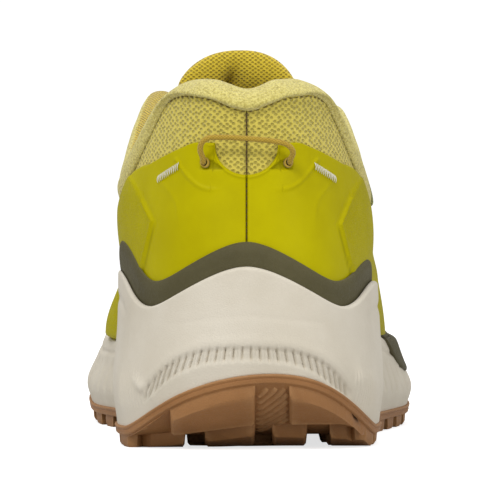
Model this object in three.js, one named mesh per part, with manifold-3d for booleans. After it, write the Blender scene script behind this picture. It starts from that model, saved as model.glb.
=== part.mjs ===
// A trail running shoe for the right foot, in millimetres: +Z up, +Y towards the toe, +X the outer (lateral) side.
// The origin is on the ground, under the centre of the round heel.
import * as THREE from "three";
import { mergeVertices } from "three/addons/utils/BufferGeometryUtils.js";
import Module from "manifold-3d";

// ---------------------------------------------------------------- driving sizes
const lastLength = 280; // heel to toe of the upper, along its lower edge
const lastWidth = 91.5; // across the ball, along the same edge
const upperHeight = 83; // top edge of the heel above the midsole's bed
const heelStack = 30; // midsole bed above the ground, under the heel
const forefootStack = 21; // the same under the ball
const toeSpring = 7.5; // how far the bed rises again at the toe
const lugDepth = 4;
const outsoleWall = 2.6; // rubber between the lugs
const heelBevel = 18; // how far the outsole sweeps up at the back
const toeBevel = 19; // and at the toe
const soleFlare = 1.4; // bulge of the midsole's wall beyond the outsole's edge
const rimWall = 2; // midsole wall at its upper edge
const meshWall = 1.3; // outer fabric
const filmWall = 0.8; // welded overlays
const bandWall = 1.0; // moulded olive bands
const counterWall = 1.2;
const liningWall = 0.9;
const collarFoam = 5.4; // foam in the collar at its thickest
const boardWall = 1.0; // lasting board
const insoleWall = 3.6;
const plateWall = 1.2; // shank plate under the board
const laceRadius = 1.5;
const pullCordRadius = 1.1;
const pullSpan = 28; // between the ends of the heel loop
const loopLength = 4; // webbing lace loops, along the throat
const laceRows = 4;
const gap = 0.4; // clearance between neighbouring layers

// The net below is drawn for these sizes, and stretched to the driving ones.
const drawn = { length: 280, width: 91.5, height: 83 };
const stretch = new THREE.Vector3(
  lastWidth / drawn.width,
  lastLength / drawn.length,
  upperHeight / drawn.height,
);

const wasm = await Module();
wasm.setup();
const { lerp, clamp, smoothstep } = THREE.MathUtils;
const V = (x, y, z) => new THREE.Vector3(x, y, z);

// ---------------------------------------------------------------- the last
// Height of the midsole's bed, which every upper and insole piece stands on.
function bed(y) {
  const at = y / stretch.y;
  const drop = (heelStack - forefootStack) * smoothstep(at, 30, 150);
  return heelStack - drop + toeSpring * Math.max(0, (at - 170) / 77) ** 2;
}

// Underside of the outsole between its lugs: flat underfoot, swept up at heel and toe.
function base(x, y) {
  const back = Math.max(0, (-6 - (y / stretch.y - 0.14 * x)) / 36);
  const front = Math.max(0, (y / stretch.y - 152) / 103);
  return lugDepth + heelBevel * back ** 1.7 + toeBevel * front ** 2;
}

// Stations 0 (back of the heel) to 12 (toe) down each side. foot is the lower edge [x, y]; side and crown bend the
// wall away from that edge and from the upper one; top is the upper edge [x, y, height above the bed], which runs
// round the collar to station 5, down the throat to 8, and along the ridge of the closed toe from there on.
const lateral = [
  { foot: [0, -33], side: [0, -11, 25], crown: [0, 6, -24], top: [0, -32, 82] },
  { foot: [19, -27], side: [5, -8, 25], crown: [-1, 4, -24], top: [14, -28, 85.5] },
  { foot: [30, -9], side: [6, -3, 24], crown: [3, 1, -24], top: [25, -13, 84.5] },
  { foot: [33.5, 18], side: [5.5, 0, 22], crown: [9, 0, -23], top: [33.5, 10, 68] },
  { foot: [33.5, 50], side: [6, 0, 22], crown: [6.5, 0, -17], top: [37.5, 38, 57] },
  { foot: [35.5, 82], side: [7, 0, 22], crown: [11, 2, -19], top: [31, 70, 82.5] },
  { foot: [41, 114], side: [6, 0, 21], crown: [15, 3, -9], top: [25, 97, 76] },
  { foot: [46, 146], side: [5, 0, 20], crown: [19, 3, -6], top: [18.5, 131, 61.5] },
  { foot: [46.5, 176], side: [4, 0, 20], crown: [23, 3, -1.2], top: [-1, 166, 45] },
  { foot: [42, 203], side: [4, 1, 18], crown: [21, 3, -1], top: [-3, 191, 36.5] },
  { foot: [32.5, 225], side: [4, 4, 15], crown: [17, 6, -2.1], top: [-4, 210, 29] },
  { foot: [16, 241], side: [2.5, 5, 12], crown: [10, 7, -3], top: [-5, 222, 24.5] },
  { foot: [-5, 247], side: [0, 6, 10], crown: [0, 8, -4.2], top: [-5.5, 231, 20] },
];
const medial = [
  { foot: [-19, -27], side: [-5, -8, 25], crown: [1, 4, -24], top: [-14, -28, 85.5] },
  { foot: [-30, -9], side: [-6, -3, 24], crown: [-3, 1, -24], top: [-25, -13, 84.5] },
  { foot: [-32.5, 18], side: [-5.5, 0, 22], crown: [-9, 0, -23], top: [-33.5, 10, 69] },
  { foot: [-30.5, 50], side: [-7, 0, 22], crown: [-6.5, 0, -17], top: [-37, 38, 60] },
  { foot: [-29, 82], side: [-8, 0, 22], crown: [-11, 2, -19], top: [-30, 70, 87] },
  { foot: [-34, 114], side: [-6, 0, 21], crown: [-15, 3, -9], top: [-24.5, 97, 78] },
  { foot: [-41, 146], side: [-6, 0, 20], crown: [-19, 3, -6], top: [-18.5, 131, 62.5] },
  { foot: [-45, 176], side: [-6.5, 0, 20], crown: [-23, 3, -1.2], top: [-1, 166, 45] },
  { foot: [-45, 203], side: [-5, 1, 18], crown: [-22, 3, -1], top: [-3, 191, 36.5] },
  { foot: [-39, 225], side: [-4, 4, 15], crown: [-18, 6, -2.1], top: [-4, 210, 29] },
  { foot: [-25.5, 241], side: [-2.5, 5, 12], crown: [-11, 7, -3], top: [-5, 222, 24.5] },
];
const toe = lateral.length - 1; // station of the toe
const stations = [...lateral, ...medial.reverse()];

// Four rails round the shoe, from the lower edge to the upper one: each wall section is the Bezier curve on them.
const rails = [[], [], [], []];
for (const s of stations) {
  const foot = V(s.foot[0], s.foot[1], 0).multiply(stretch);
  foot.z = bed(foot.y) + gap;
  const top = V(s.top[0], s.top[1], s.top[2]).multiply(stretch);
  top.z += bed(top.y);
  rails[0].push(foot);
  rails[1].push(foot.clone().add(V(...s.side).multiply(stretch)));
  rails[2].push(top.clone().add(V(...s.crown).multiply(stretch)));
  rails[3].push(top);
}

// A point of a closed rail. u counts stations: positive down the lateral side, negative down the medial one.
function onRail(rail, u) {
  const i = Math.floor(u);
  const t = u - i;
  const p = [-1, 0, 1, 2].map((k) => rail[(i + k + 4 * rail.length) % rail.length]);
  const weights = [
    -t + 2 * t * t - t ** 3,
    2 - 5 * t * t + 3 * t ** 3,
    t + 4 * t * t - 3 * t ** 3,
    -t * t + t ** 3,
  ];
  const sum = V(0, 0, 0);
  weights.forEach((w, k) => sum.addScaledVector(p[k], w / 2));
  return sum;
}

// The outer face of the fabric: v runs from 0 at the bed to 1 at the upper edge.
function face(u, v) {
  const weights = [(1 - v) ** 3, 3 * v * (1 - v) ** 2, 3 * v * v * (1 - v), v ** 3];
  const sum = V(0, 0, 0);
  weights.forEach((w, k) => sum.addScaledVector(onRail(rails[k], u), w));
  return sum;
}

// Directions on that face: along (towards the toe on the lateral side), up and out.
function directions(u, v) {
  const at = clamp(v, 0.01, 0.98);
  const along = face(u + 0.02, at).sub(face(u - 0.02, at)).normalize();
  const up = face(u, at + 0.01).sub(face(u, at - 0.01)).normalize();
  const out = along.clone().cross(up).normalize();
  return { along, up, out };
}

// A point out from the face, and rise beyond it along its upward direction.
function wall(u, v, out, rise = 0) {
  const d = directions(u, v);
  return face(u, v).addScaledVector(d.out, out).addScaledVector(d.up, rise);
}

// The v at which the wall at station u reaches a height above the bed.
function vAt(u, height) {
  const wanted = height * stretch.z;
  let low = 0;
  let high = 1;
  for (let i = 0; i < 22; i++) {
    const mid = (low + high) / 2;
    const p = face(u, mid);
    if (p.z - bed(p.y) < wanted) low = mid;
    else high = mid;
  }
  return (low + high) / 2;
}

// A smooth curve through [at, value] pairs that never overshoots them.
function through(pairs) {
  const slopes = pairs.map((p, i) => {
    const a = pairs[i - 1];
    const b = pairs[i + 1];
    if (!a || !b) return 0;
    const before = (p[1] - a[1]) / (p[0] - a[0]);
    const after = (b[1] - p[1]) / (b[0] - p[0]);
    return before * after <= 0 ? 0 : (2 * before * after) / (before + after);
  });
  return (x) => {
    if (x <= pairs[0][0]) return pairs[0][1];
    if (x >= pairs.at(-1)[0]) return pairs.at(-1)[1];
    const i = pairs.findIndex((p, k) => x < pairs[k + 1][0]);
    const width = pairs[i + 1][0] - pairs[i][0];
    const t = (x - pairs[i][0]) / width;
    return (
      (2 * t ** 3 - 3 * t * t + 1) * pairs[i][1] +
      (t ** 3 - 2 * t * t + t) * width * slopes[i] +
      (3 * t * t - 2 * t ** 3) * pairs[i + 1][1] +
      (t ** 3 - t * t) * width * slopes[i + 1]
    );
  };
}

// ---------------------------------------------------------------- solids
// A manifold solid from triangles of Vector3, its points merged and its faces turned outwards.
function solid(triangles) {
  const flat = triangles.flatMap((t) => t.flatMap((p) => [p.x, p.y, p.z]));
  const geometry = new THREE.BufferGeometry();
  geometry.setAttribute("position", new THREE.Float32BufferAttribute(flat, 3));
  const merged = mergeVertices(geometry, 1e-3);
  const index = merged.index.array;
  const kept = [];
  for (let i = 0; i < index.length; i += 3) {
    const [a, b, c] = index.slice(i, i + 3);
    if (a !== b && b !== c && a !== c) kept.push(a, b, c);
  }
  const build = (triVerts) =>
    new wasm.Manifold(
      new wasm.Mesh({
        numProp: 3,
        vertProperties: merged.attributes.position.array,
        triVerts: new Uint32Array(triVerts),
      }),
    );
  const made = build(kept);
  return made.volume() > 0 ? made : build(kept.reverse());
}

// Two triangles on each cell between rows of points, split along its shorter diagonal.
function cells(rows) {
  const triangles = [];
  for (let i = 0; i + 1 < rows.length; i++)
    for (let j = 0; j + 1 < rows[i].length; j++) {
      const [a, b] = [rows[i][j], rows[i + 1][j]];
      const [c, d] = [rows[i + 1][j + 1], rows[i][j + 1]];
      if (a.distanceTo(c) <= b.distanceTo(d)) triangles.push([a, b, c], [a, c, d]);
      else triangles.push([a, b, d], [b, c, d]);
    }
  return triangles;
}

// A closed shell between an outer and an inner grid. at(a, b, inner) gives a point, a and b from 0 to 1.
function shell(columns, rows, at, zipped = false) {
  const grid = (inner) =>
    Array.from({ length: columns + 1 }, (_, i) =>
      Array.from({ length: rows + 1 }, (_, j) => at(i / columns, j / rows, inner)),
    );
  const outer = grid(false);
  const inner = grid(true);
  const edge = (a, b) => cells([a, b]);
  return solid([
    ...cells(outer),
    ...cells(inner).map((t) => t.toReversed()),
    ...edge(outer.map((r) => r[0]), inner.map((r) => r[0])),
    ...edge(inner.map((r) => r.at(-1)), outer.map((r) => r.at(-1))),
    ...edge(inner[0], outer[0]),
    ...(zipped ? [] : edge(outer.at(-1), inner.at(-1))),
  ]);
}

// A layer of the upper between two stations and two v curves, from one depth to another. A depth may be a
// function of u and v. detail is the number of cells to a station.
function layer({ from, to, low, high, outer, inner, detail = 3, rows = 8 }) {
  const depth = (d, u, v) => (typeof d === "function" ? d(u, v) : d);
  const us = stops(from, to, detail);
  return shell(us.length - 1, rows, (a, b, inside) => {
    const u = us[Math.round(a * (us.length - 1))];
    const v = lerp(low(u), high(u), b);
    return wall(u, v, depth(inside ? inner : outer, u, v));
  });
}

// Both ends and every whole share of a station between them, so that neighbouring layers share their section lines.
function stops(from, to, detail) {
  const step = Math.sign(to - from) / detail;
  const us = [from];
  for (let k = Math.floor(from / step + 0.3) + 1; k < to / step - 0.3; k++) us.push(k * step);
  return [...us, to];
}

// The middle line that the sole's sections turn about: a point at the heel and toe, a line between.
function spine(u) {
  const y = (onRail(rails[0], u).y + onRail(rails[0], -u).y) / 2;
  const at = clamp(y, 0, 226 * stretch.y);
  return V(-5 * stretch.x * smoothstep(at, 60 * stretch.y, 220 * stretch.y), at, 0);
}

// The lower edge of the upper moved outwards on the ground plan.
function outline(u, out) {
  const tangent = onRail(rails[0], u + 0.02).sub(onRail(rails[0], u - 0.02));
  const normal = V(tangent.y, -tangent.x, 0).normalize();
  return onRail(rails[0], u).setZ(0).addScaledVector(normal, out);
}

// A plate or sole: half sections from the spine out and back, turned once round the shoe.
function wheel(section, count = 72) {
  const around = Array.from({ length: count + 1 }, (_, i) =>
    section(((i % count) / count) * stations.length - toe),
  );
  return solid(cells(around));
}

// A flat-sided plate inside the outline, between two height functions of (x, y).
function plate(inset, lower, upper, count = 72, rings = [0, 0.5, 1]) {
  const lift = (p, height) => V(p.x, p.y, height(p.x, p.y));
  return wheel((u) => {
    const ring = rings.map((r) => spine(u).lerp(outline(u, -inset(u)), r));
    return [
      ...ring.map((p) => lift(p, lower)),
      ...ring.toReversed().map((p) => lift(p, upper)),
    ];
  }, count);
}

// The main body of a solid, without crumbs left by a cut.
function largest(body) {
  return body.decompose().reduce((a, b) => (b.volume() > a.volume() ? b : a));
}

// A prism on the ground plan, from points [x, y].
function prism(points, low, high) {
  const corners = THREE.ShapeUtils.isClockWise(points.map((p) => new THREE.Vector2(...p)))
    ? points.toReversed()
    : points;
  const shape = new THREE.Shape(corners.map((p) => new THREE.Vector2(...p)));
  const geometry = new THREE.ExtrudeGeometry(shape, { depth: high - low, bevelEnabled: false });
  geometry.translate(0, 0, low);
  return fromGeometry(geometry);
}

// A three.js geometry as a manifold solid.
function fromGeometry(geometry) {
  const p = geometry.index ? geometry.toNonIndexed().attributes.position : geometry.attributes.position;
  const triangles = [];
  for (let i = 0; i < p.count; i += 3)
    triangles.push([0, 1, 2].map((k) => new THREE.Vector3().fromBufferAttribute(p, i + k)));
  return solid(triangles);
}

// A round cord along a smooth curve through points.
function tube(points, radius, steps, sides = 8) {
  const path = new THREE.CatmullRomCurve3(points, false, "centripetal");
  const circle = new THREE.Shape(
    Array.from({ length: sides }, (_, i) => {
      const angle = (2 * Math.PI * i) / sides;
      return new THREE.Vector2(radius * Math.cos(angle), radius * Math.sin(angle));
    }),
  );
  return fromGeometry(new THREE.ExtrudeGeometry(circle, { steps, extrudePath: path }));
}

// A box placed by its own three directions: half sizes along each.
function block(centre, axes, half) {
  const geometry = new THREE.BoxGeometry(2 * half[0], 2 * half[1], 2 * half[2]);
  geometry.applyMatrix4(new THREE.Matrix4().makeBasis(...axes).setPosition(centre));
  return fromGeometry(geometry);
}

// ---------------------------------------------------------------- sole
// Distance from the upper's lower edge out to the outsole's edge, by station.
const soleOut = through([[0, 8.5], [1, 9.5], [3, 10.5], [5, 8], [6.5, 8.5], [8, 10.5], [10, 8], [12, 6.5]]);
// Height of the midsole's rim above the bed. The heel waves up at the back and at each side.
const rim = through([
  [-12, 9], [-10, 9.5], [-8, 9], [-6.5, 9.5], [-5, 12.5], [-3.25, 27.5], [-1.6, 16.2],
  [0, 29], [1.6, 16.2], [3.1, 24], [4.6, 12], [6.5, 9], [8, 9], [10, 10], [12, 9],
]);
const around = (u) => (u > toe ? u - stations.length : u); // any turn back to -12 .. 12

function midsole() {
  const rimIn = gap + filmWall + gap + bandWall + gap;
  const body = wheel((u) => {
    const s = spine(u);
    const side = Math.abs(u);
    const edge = outline(u, soleOut(side));
    const bulge = outline(u, soleOut(side) + soleFlare);
    const vRim = vAt(u, rim(u));
    const under = (p) => V(p.x, p.y, base(p.x, p.y) + outsoleWall + gap);
    const topIn = wall(u, vRim, rimIn);
    const topOut = wall(u, vRim, rimIn + rimWall);
    topOut.z = topIn.z - 0.6;
    const foot = outline(u, rimIn);
    const edgeZ = under(edge).z;
    const waist = bulge.clone().lerp(topOut, 0.55);
    return [
      under(s),
      under(s.clone().lerp(edge, 0.5)),
      under(edge),
      V(bulge.x, bulge.y, lerp(edgeZ, topOut.z, 0.3)),
      V(waist.x, waist.y, lerp(edgeZ, topOut.z, 0.68)),
      topOut,
      topIn,
      wall(u, vRim * 0.75, rimIn),
      wall(u, vRim * 0.4, rimIn),
      V(foot.x, foot.y, bed(foot.y)),
      V(s.x, s.y, bed(s.y)),
    ];
  });
  return largest(body.subtract(shankPlate(gap)));
}

// A stiff plate let into the bed from the heel to the ball.
function shankPlate(room = 0) {
  const points = [
    [-16, -8], [-9, -18], [9, -18], [16, -8], [14, 60], [22, 120], [24, 158], [12, 170], [-14, 170],
    [-25, 158], [-21, 120], [-13, 60],
  ].map(([x, y]) => {
    const p = V(x, y, 0).multiply(stretch);
    const middle = V(0, 76 * stretch.y, 0);
    const away = p.clone().sub(middle).normalize().multiplyScalar(room);
    return [p.x + away.x, p.y + away.y];
  });
  const below = (x, y) => bed(y) - plateWall - gap - room;
  const above = (x, y) => (room ? bed(y) + 1 : bed(y) - gap);
  return plate(() => 4, below, above, 36, [0, 1]).intersect(prism(points, 0, 60));
}

// Lugs in rows across the sole: y of the row's back edge, its depth, how far it sweeps forward at the sides, and
// the [from, to] of each lug in x.
const lugs = [
  { y: -48, depth: 21, sweep: 0.1, across: [[-25, 3], [13.5, 39]] },
  { y: -22, depth: 13, sweep: 0.2, across: [[-47, -20], [-14, 3], [8, 20], [27, 47]] },
  { y: -5, depth: 14, sweep: 0.25, across: [[-47, -26], [-20, 20], [26, 47]] },
  { y: 15, depth: 13, sweep: 0.25, across: [[-47, -24], [-17, -4], [4, 17], [24, 47]] },
  { y: 35, depth: 13, sweep: 0.25, across: [[-47, -24], [-14, 14], [24, 47]] },
  { y: 55, depth: 11, sweep: 0.25, across: [[-47, -24], [24, 50]] },
  { y: 88, depth: 12, sweep: -0.15, across: [[-50, -27], [30, 55]] },
  { y: 106, depth: 12, sweep: -0.15, across: [[-58, -33], [-26, -8], [8, 28], [35, 60]] },
  { y: 125, depth: 12, sweep: -0.15, across: [[-60, -38], [-30, -5], [5, 32], [40, 62]] },
  { y: 144, depth: 12, sweep: -0.15, across: [[-62, -42], [-34, -5], [5, 34], [42, 62]] },
  { y: 163, depth: 12, sweep: -0.15, across: [[-62, -42], [-34, -5], [5, 34], [42, 62]] },
  { y: 182, depth: 12, sweep: -0.15, across: [[-62, -42], [-34, -6], [4, 32], [40, 62]] },
  { y: 201, depth: 11, sweep: -0.2, across: [[-62, -38], [-30, -7], [3, 26], [34, 62]] },
  { y: 219, depth: 11, sweep: -0.25, across: [[-58, -30], [-22, 14], [22, 50]] },
  { y: 237, depth: 20, sweep: -0.3, across: [[-40, -14], [-7, 25]] },
];

function outsole() {
  const inset = (more) => (u) => more - soleOut(Math.abs(u));
  const sheet = plate(inset(0), base, (x, y) => base(x, y) + outsoleWall, 72, [0, 0.5, 1]);
  const under = plate(inset(0.6), (x, y) => base(x, y) - lugDepth, (x, y) => base(x, y) + 0.5, 36);
  const bars = lugs.flatMap(({ y, depth, sweep, across }) =>
    across.map(([from, to]) => {
      const line = [from, ...(from < 0 && to > 0 ? [0] : []), to];
      const points = line.map((x) => [x, y + sweep * Math.abs(x)]);
      const far = line.map((x) => [x, y + depth + sweep * Math.abs(x)]).reverse();
      return prism(
        [...points, ...far].map(([x, py]) => [x * stretch.x, py * stretch.y]),
        -5,
        60,
      );
    }),
  );
  return largest(sheet.add(under.intersect(wasm.Manifold.union(bars))));
}

// Olive band between the heel's overlay and the midsole's rim.
const heelBandTop = through([
  [-3.5, 26.8], [-3.05, 37.6], [-1.6, 24.7], [0, 37.5], [1.6, 24.7], [2.9, 31.4], [3.5, 22.5],
]);
const bandDepth = { inner: gap + filmWall + gap, outer: gap + filmWall + gap + bandWall };
const heelBand = () =>
  layer({
    from: -3.5,
    to: 3.5,
    low: (u) => vAt(u, rim(u) - 5),
    high: (u) => vAt(u, Math.max(heelBandTop(u), rim(u) + 0.6)),
    ...bandDepth,
    rows: 3,
  });
const forefootBand = () =>
  layer({
    from: 6,
    to: 9.6,
    low: (u) => vAt(u, rim(u) - 4),
    high: (u) => vAt(u, rim(u) + 6.5 * Math.sin(((u - 6) / 3.6) * Math.PI) ** 0.7 + 0.6),
    ...bandDepth,
    rows: 3,
  });

// ---------------------------------------------------------------- upper
const vampBack = (v) => 5.9 + 1.75 * v ** 1.3; // seam between vamp and quarters, by height
const seamHalf = 0.03; // half the gap at each seam, in stations

const vampFront = (v) => vampBack(v) + seamHalf + 0.1 * v ** 4; // its edge on the vamp

// Section lines of a piece that ends at a seam: whole shares of a station as far as the last shared one, then
// spread evenly to the seam.
function seamLines(from, shared, seam, spread, a) {
  const fixed = Math.round(Math.abs(shared - from) * 3);
  const k = Math.round(a * (fixed + spread));
  if (k <= fixed) return k === 0 ? from : shared - (Math.sign(shared - from) * (fixed - k)) / 3;
  return lerp(shared, seam, (k - fixed) / spread);
}

// A layer of the closed toe, from the vamp seam to the toe, across both sides.
function closedToe({ start, from, outer, inner, low = 0, rows = 12 }) {
  const spread = start ? 5 : 0;
  return shell(
    Math.round((toe - from) * 3) + spread,
    rows,
    (a, b, inside) => {
      const side = Math.abs(2 * b - 1); // 1 at the lower edges, 0 on the ridge
      const v = lerp(1, low, side);
      const u = seamLines(toe, from, start && start(v), spread, 1 - a);
      const depth = inside ? inner : outer;
      if (v === 1) return wall(u, 1, depth).add(wall(-u, 1, depth)).multiplyScalar(0.5);
      return wall(b < 0.5 ? u : -u, v, depth);
    },
    true,
  );
}

const quarter = (side) =>
  shell(20, 7, (a, v, inside) => {
    const u = Math.max(seamHalf, seamLines(0, 17 / 3, vampBack(v) - seamHalf, 3, a));
    return wall(side * u, v, inside ? -meshWall : 0);
  });

// Upper edge of the heel's film, above the bed: a round window at the back, then down under the collar.
const filmEdge = through([[0, 69.6], [1.1, 69.9], [1.4, 68.4], [2.3, 62.7], [3.1, 58]]);
function filmTop(u) {
  const reach = Math.abs(u);
  const window = reach < 0.68 ? 10.2 * Math.sqrt(1 - (reach / 0.68) ** 2) : 0;
  return filmEdge(reach) - window;
}
const filmDepth = { inner: gap, outer: gap + filmWall };
const panelBack = 2.35; // station where the side panel takes over from the heel film
const heelFilm = (side) =>
  layer({
    from: side * seamHalf,
    to: side * (panelBack - seamHalf),
    low: (u) => vAt(u, 8),
    high: (u) => vAt(u, filmTop(u)),
    ...filmDepth,
    detail: 6,
    rows: 4,
  });
const panelLine = through([[2.3, 62.7], [2.8, 60.8], [4, 47], [5, 62], [6, 54], [7, 40], [8.4, 20]]);
const panelTop = (u) => Math.min(panelLine(Math.abs(u)), rollEdge(u) - 0.9);
const sidePanel = (side) =>
  layer({
    from: side * (panelBack + seamHalf),
    to: side * 8.2,
    low: (u) => vAt(u, 5),
    high: (u) => vAt(u, panelTop(u)),
    ...filmDepth,
    rows: 5,
  });
const toeCapTop = through([[8.5, 14], [9.5, 19], [11, 18], [12, 17]]);
const toeCap = () =>
  layer({
    from: 8.5,
    to: 2 * toe - 8.5,
    low: (u) => vAt(around(u), 3),
    high: (u) => vAt(around(u), toeCapTop(Math.abs(around(u)))),
    inner: gap * 1.5,
    outer: gap * 1.5 + filmWall,
    rows: 4,
  });
const toePuff = () =>
  closedToe({ from: 31 / 3, outer: -meshWall - gap, inner: -meshWall - gap - 0.8, low: 0.12, rows: 10 });
const frontLiningDepth = { outer: -meshWall - 2 * gap - 0.8, inner: -meshWall - 2 * gap - 0.8 - 0.7 };

const heelCounter = () =>
  layer({
    from: -2.8,
    to: 2.8,
    low: (u) => vAt(u, 1.5),
    high: (u) => vAt(u, 46 - 1.6 * u * u),
    outer: -meshWall - gap,
    inner: -meshWall - gap - counterWall,
    rows: 4,
  });

// Depth of the foam's inner face: thin beside the foot, thick round the ankle, and thin again at the throat.
const foamFace = -(meshWall + gap + counterWall + gap);
function foamBack(u, v) {
  const height = face(u, v).z - bed(face(u, v).y);
  const ankle = smoothstep(height, 22 * stretch.z, 52 * stretch.z);
  const front = 1 - 0.75 * smoothstep(Math.abs(u), 4, 5);
  return foamFace - 0.9 - (collarFoam - 0.9) * ankle * front;
}
const foamLow = 18; // lower edge of the foam above the bed
const foamRows = 6;
const collarEnd = 5.05; // last station of the padded collar
const collarPad = () =>
  layer({
    from: -collarEnd,
    to: collarEnd,
    low: (u) => vAt(u, foamLow),
    high: () => 1,
    outer: foamFace,
    inner: foamBack,
    rows: foamRows,
  });

// The lining climbs the inside, rolls over the padded edge and is sewn down outside, rollDown below the edge.
const rollDown = through([[0, 1.3], [1, 0.4], [2, 0.6], [2.5, 4], [3.2, 9], [4.2, 8], [5, 4]]);
const rollUp = 3.4;
const liningLow = 7;
const topHeight = (u) => {
  const p = onRail(rails[3], u);
  return (p.z - bed(p.y)) / stretch.z;
};
const rollEdge = (u) => (Math.abs(u) < collarEnd ? topHeight(u) - rollDown(Math.abs(u)) : 99);
function collarLining() {
  const climb = foamRows + 1;
  const rise = [0, 0.62, 1, 0.86, 0.35];
  const us = stops(-collarEnd, collarEnd, 3);
  const rows = climb + 6;
  return shell(us.length - 1, rows, (a, b, exposed) => {
    const u = us[Math.round(a * (us.length - 1))];
    const step = Math.round(b * rows);
    const skin = exposed ? liningWall : 0;
    const deep = foamBack(u, 1) - gap;
    if (step <= climb) {
      const v = step ? lerp(vAt(u, foamLow), 1, (step - 1) / foamRows) : vAt(u, liningLow);
      return wall(u, v, foamBack(u, v) - gap - skin);
    }
    const arc = step - climb;
    const outside = gap + filmWall * 0.5;
    if (arc <= 4) {
      const depth = lerp(deep - skin, outside + skin, [0, 0.08, 0.42, 0.82, 1][arc]);
      return wall(u, 1, depth, rise[arc] * rollUp + 0.5 + (arc < 4 ? skin : skin * 0.4));
    }
    return wall(u, vAt(u, topHeight(u) - rollDown(Math.abs(u)) * (arc - 4) * 0.5), outside + skin);
  });
}

// Lining of the front: it starts where the collar's lining ends.
const quarterLining = (side) =>
  shell(8, 5, (a, b, inside) => {
    const v = lerp(0.02, 0.97, b);
    const u = lerp(collarEnd + 0.06, vampBack(v) - seamHalf, a);
    return wall(side * u, v, inside ? frontLiningDepth.inner : frontLiningDepth.outer);
  });
const vampLining = () =>
  closedToe({ start: vampFront, from: 25 / 3, low: 0.02, ...frontLiningDepth, rows: 10 });

// Reinforced edge of the throat, under the lace loops.
const eyestay = (side) =>
  layer({
    from: side * (collarEnd + 0.08),
    to: side * 7.6,
    low: (u) => 1 - 0.2 - 0.05 * Math.abs(u - side * 6.4),
    high: () => 1,
    outer: gap * 1.3 + 1,
    inner: gap * 1.3,
    rows: 3,
  });

// Sewn seam up the middle of the heel.
const backSeam = () =>
  layer({
    from: -0.022,
    to: 0.022,
    low: (u) => vAt(u, 33),
    high: (u) => vAt(u, 79),
    outer: gap + filmWall * 0.75,
    inner: -meshWall * 0.5,
    rows: 8,
  });

const barTack = (side) =>
  layer({
    from: side * 1.39,
    to: side * 1.87,
    low: (u) => vAt(u, 60.6 - 9 * Math.abs(u - side * 1.39)),
    high: (u) => vAt(u, 63.3 - 9 * Math.abs(u - side * 1.39)),
    outer: gap + filmWall + gap + 0.7,
    inner: gap + filmWall + 0.3,
    detail: 6,
    rows: 1,
  });

// ---------------------------------------------------------------- heel loop
const pullHeight = 63.2; // its ends above the bed
const pullRise = 7.6; // and its top above them
const pullOut = gap + filmWall + gap + pullCordRadius + 0.2; // its pivot, clear of the film when it turns
const pullStation = pullSpan / 2 / (16.9 * stretch.x);
const pullAxis = (side) => wall(side * pullStation, vAt(side * pullStation, pullHeight), pullOut);

function pullLoop() {
  const end = pullAxis(1);
  const half = end.x;
  const back = wall(0, vAt(0, pullHeight + pullRise), pullOut).y - 1.6;
  const arch = [
    [1, 0, 0], [1.02, 0.16, -0.9], [1.07, 0.42, -1.9], [1.04, 0.68, -2.3], [0.9, 0.9, -2], [0.6, 0.98, -0.8],
    [0.25, 1, 0],
  ].map(([x, up, out], i, all) => {
    const share = i / (all.length - 1);
    return V(x * half, lerp(end.y, back, share ** 2) + out, end.z + up * pullRise);
  });
  const mirrored = arch.map((p) => V(-p.x, p.y, p.z));
  return tube([...mirrored, ...arch.toReversed()], pullCordRadius, 20);
}

// A small moulded eyelet that each end of the loop comes out of.
function pullEyelet(side) {
  const u = side * pullStation;
  const v = vAt(u, pullHeight);
  const { along, up, out } = directions(u, v);
  const ring = (radius, low, high) => {
    const geometry = new THREE.CylinderGeometry(radius, radius, high - low, 12);
    geometry.applyMatrix4(
      new THREE.Matrix4().makeBasis(up, out, along).setPosition(wall(u, v, (low + high) / 2)),
    );
    return fromGeometry(geometry);
  };
  const low = gap + filmWall + 0.3;
  return ring(pullCordRadius + 1.5, low, low + 1).subtract(ring(pullCordRadius + 0.6, low - 1, low + 2));
}

// ---------------------------------------------------------------- tongue
// Rows from under the vamp to the tip: middle line [y, height above the bed], half width, droop at the edges and
// foam thickness.
const tongueRows = [
  { y: 178, height: 30, half: 16, droop: 4, foam: 0.8 },
  { y: 160, height: 38, half: 20, droop: 6, foam: 0.9 },
  { y: 130, height: 56, half: 23, droop: 8, foam: 1.6 },
  { y: 104, height: 72.5, half: 24, droop: 9, foam: 4 },
  { y: 88, height: 84, half: 22, droop: 9, foam: 5.5 },
  { y: 81, height: 95, half: 19, droop: 6, foam: 5.5 },
  { y: 77, height: 105, half: 17.5, droop: 4.5, foam: 4.5 },
];
const tongueLine = new THREE.CatmullRomCurve3(
  tongueRows.map(({ y, height }) => V(-2, y * stretch.y, bed(y * stretch.y) + height * stretch.z)),
);
const tongueValue = (key) => through(tongueRows.map((row, i) => [i / (tongueRows.length - 1), row[key]]));
const tongueHalf = tongueValue("half");
const tongueDroop = tongueValue("droop");
const tongueFoam = tongueValue("foam");

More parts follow.
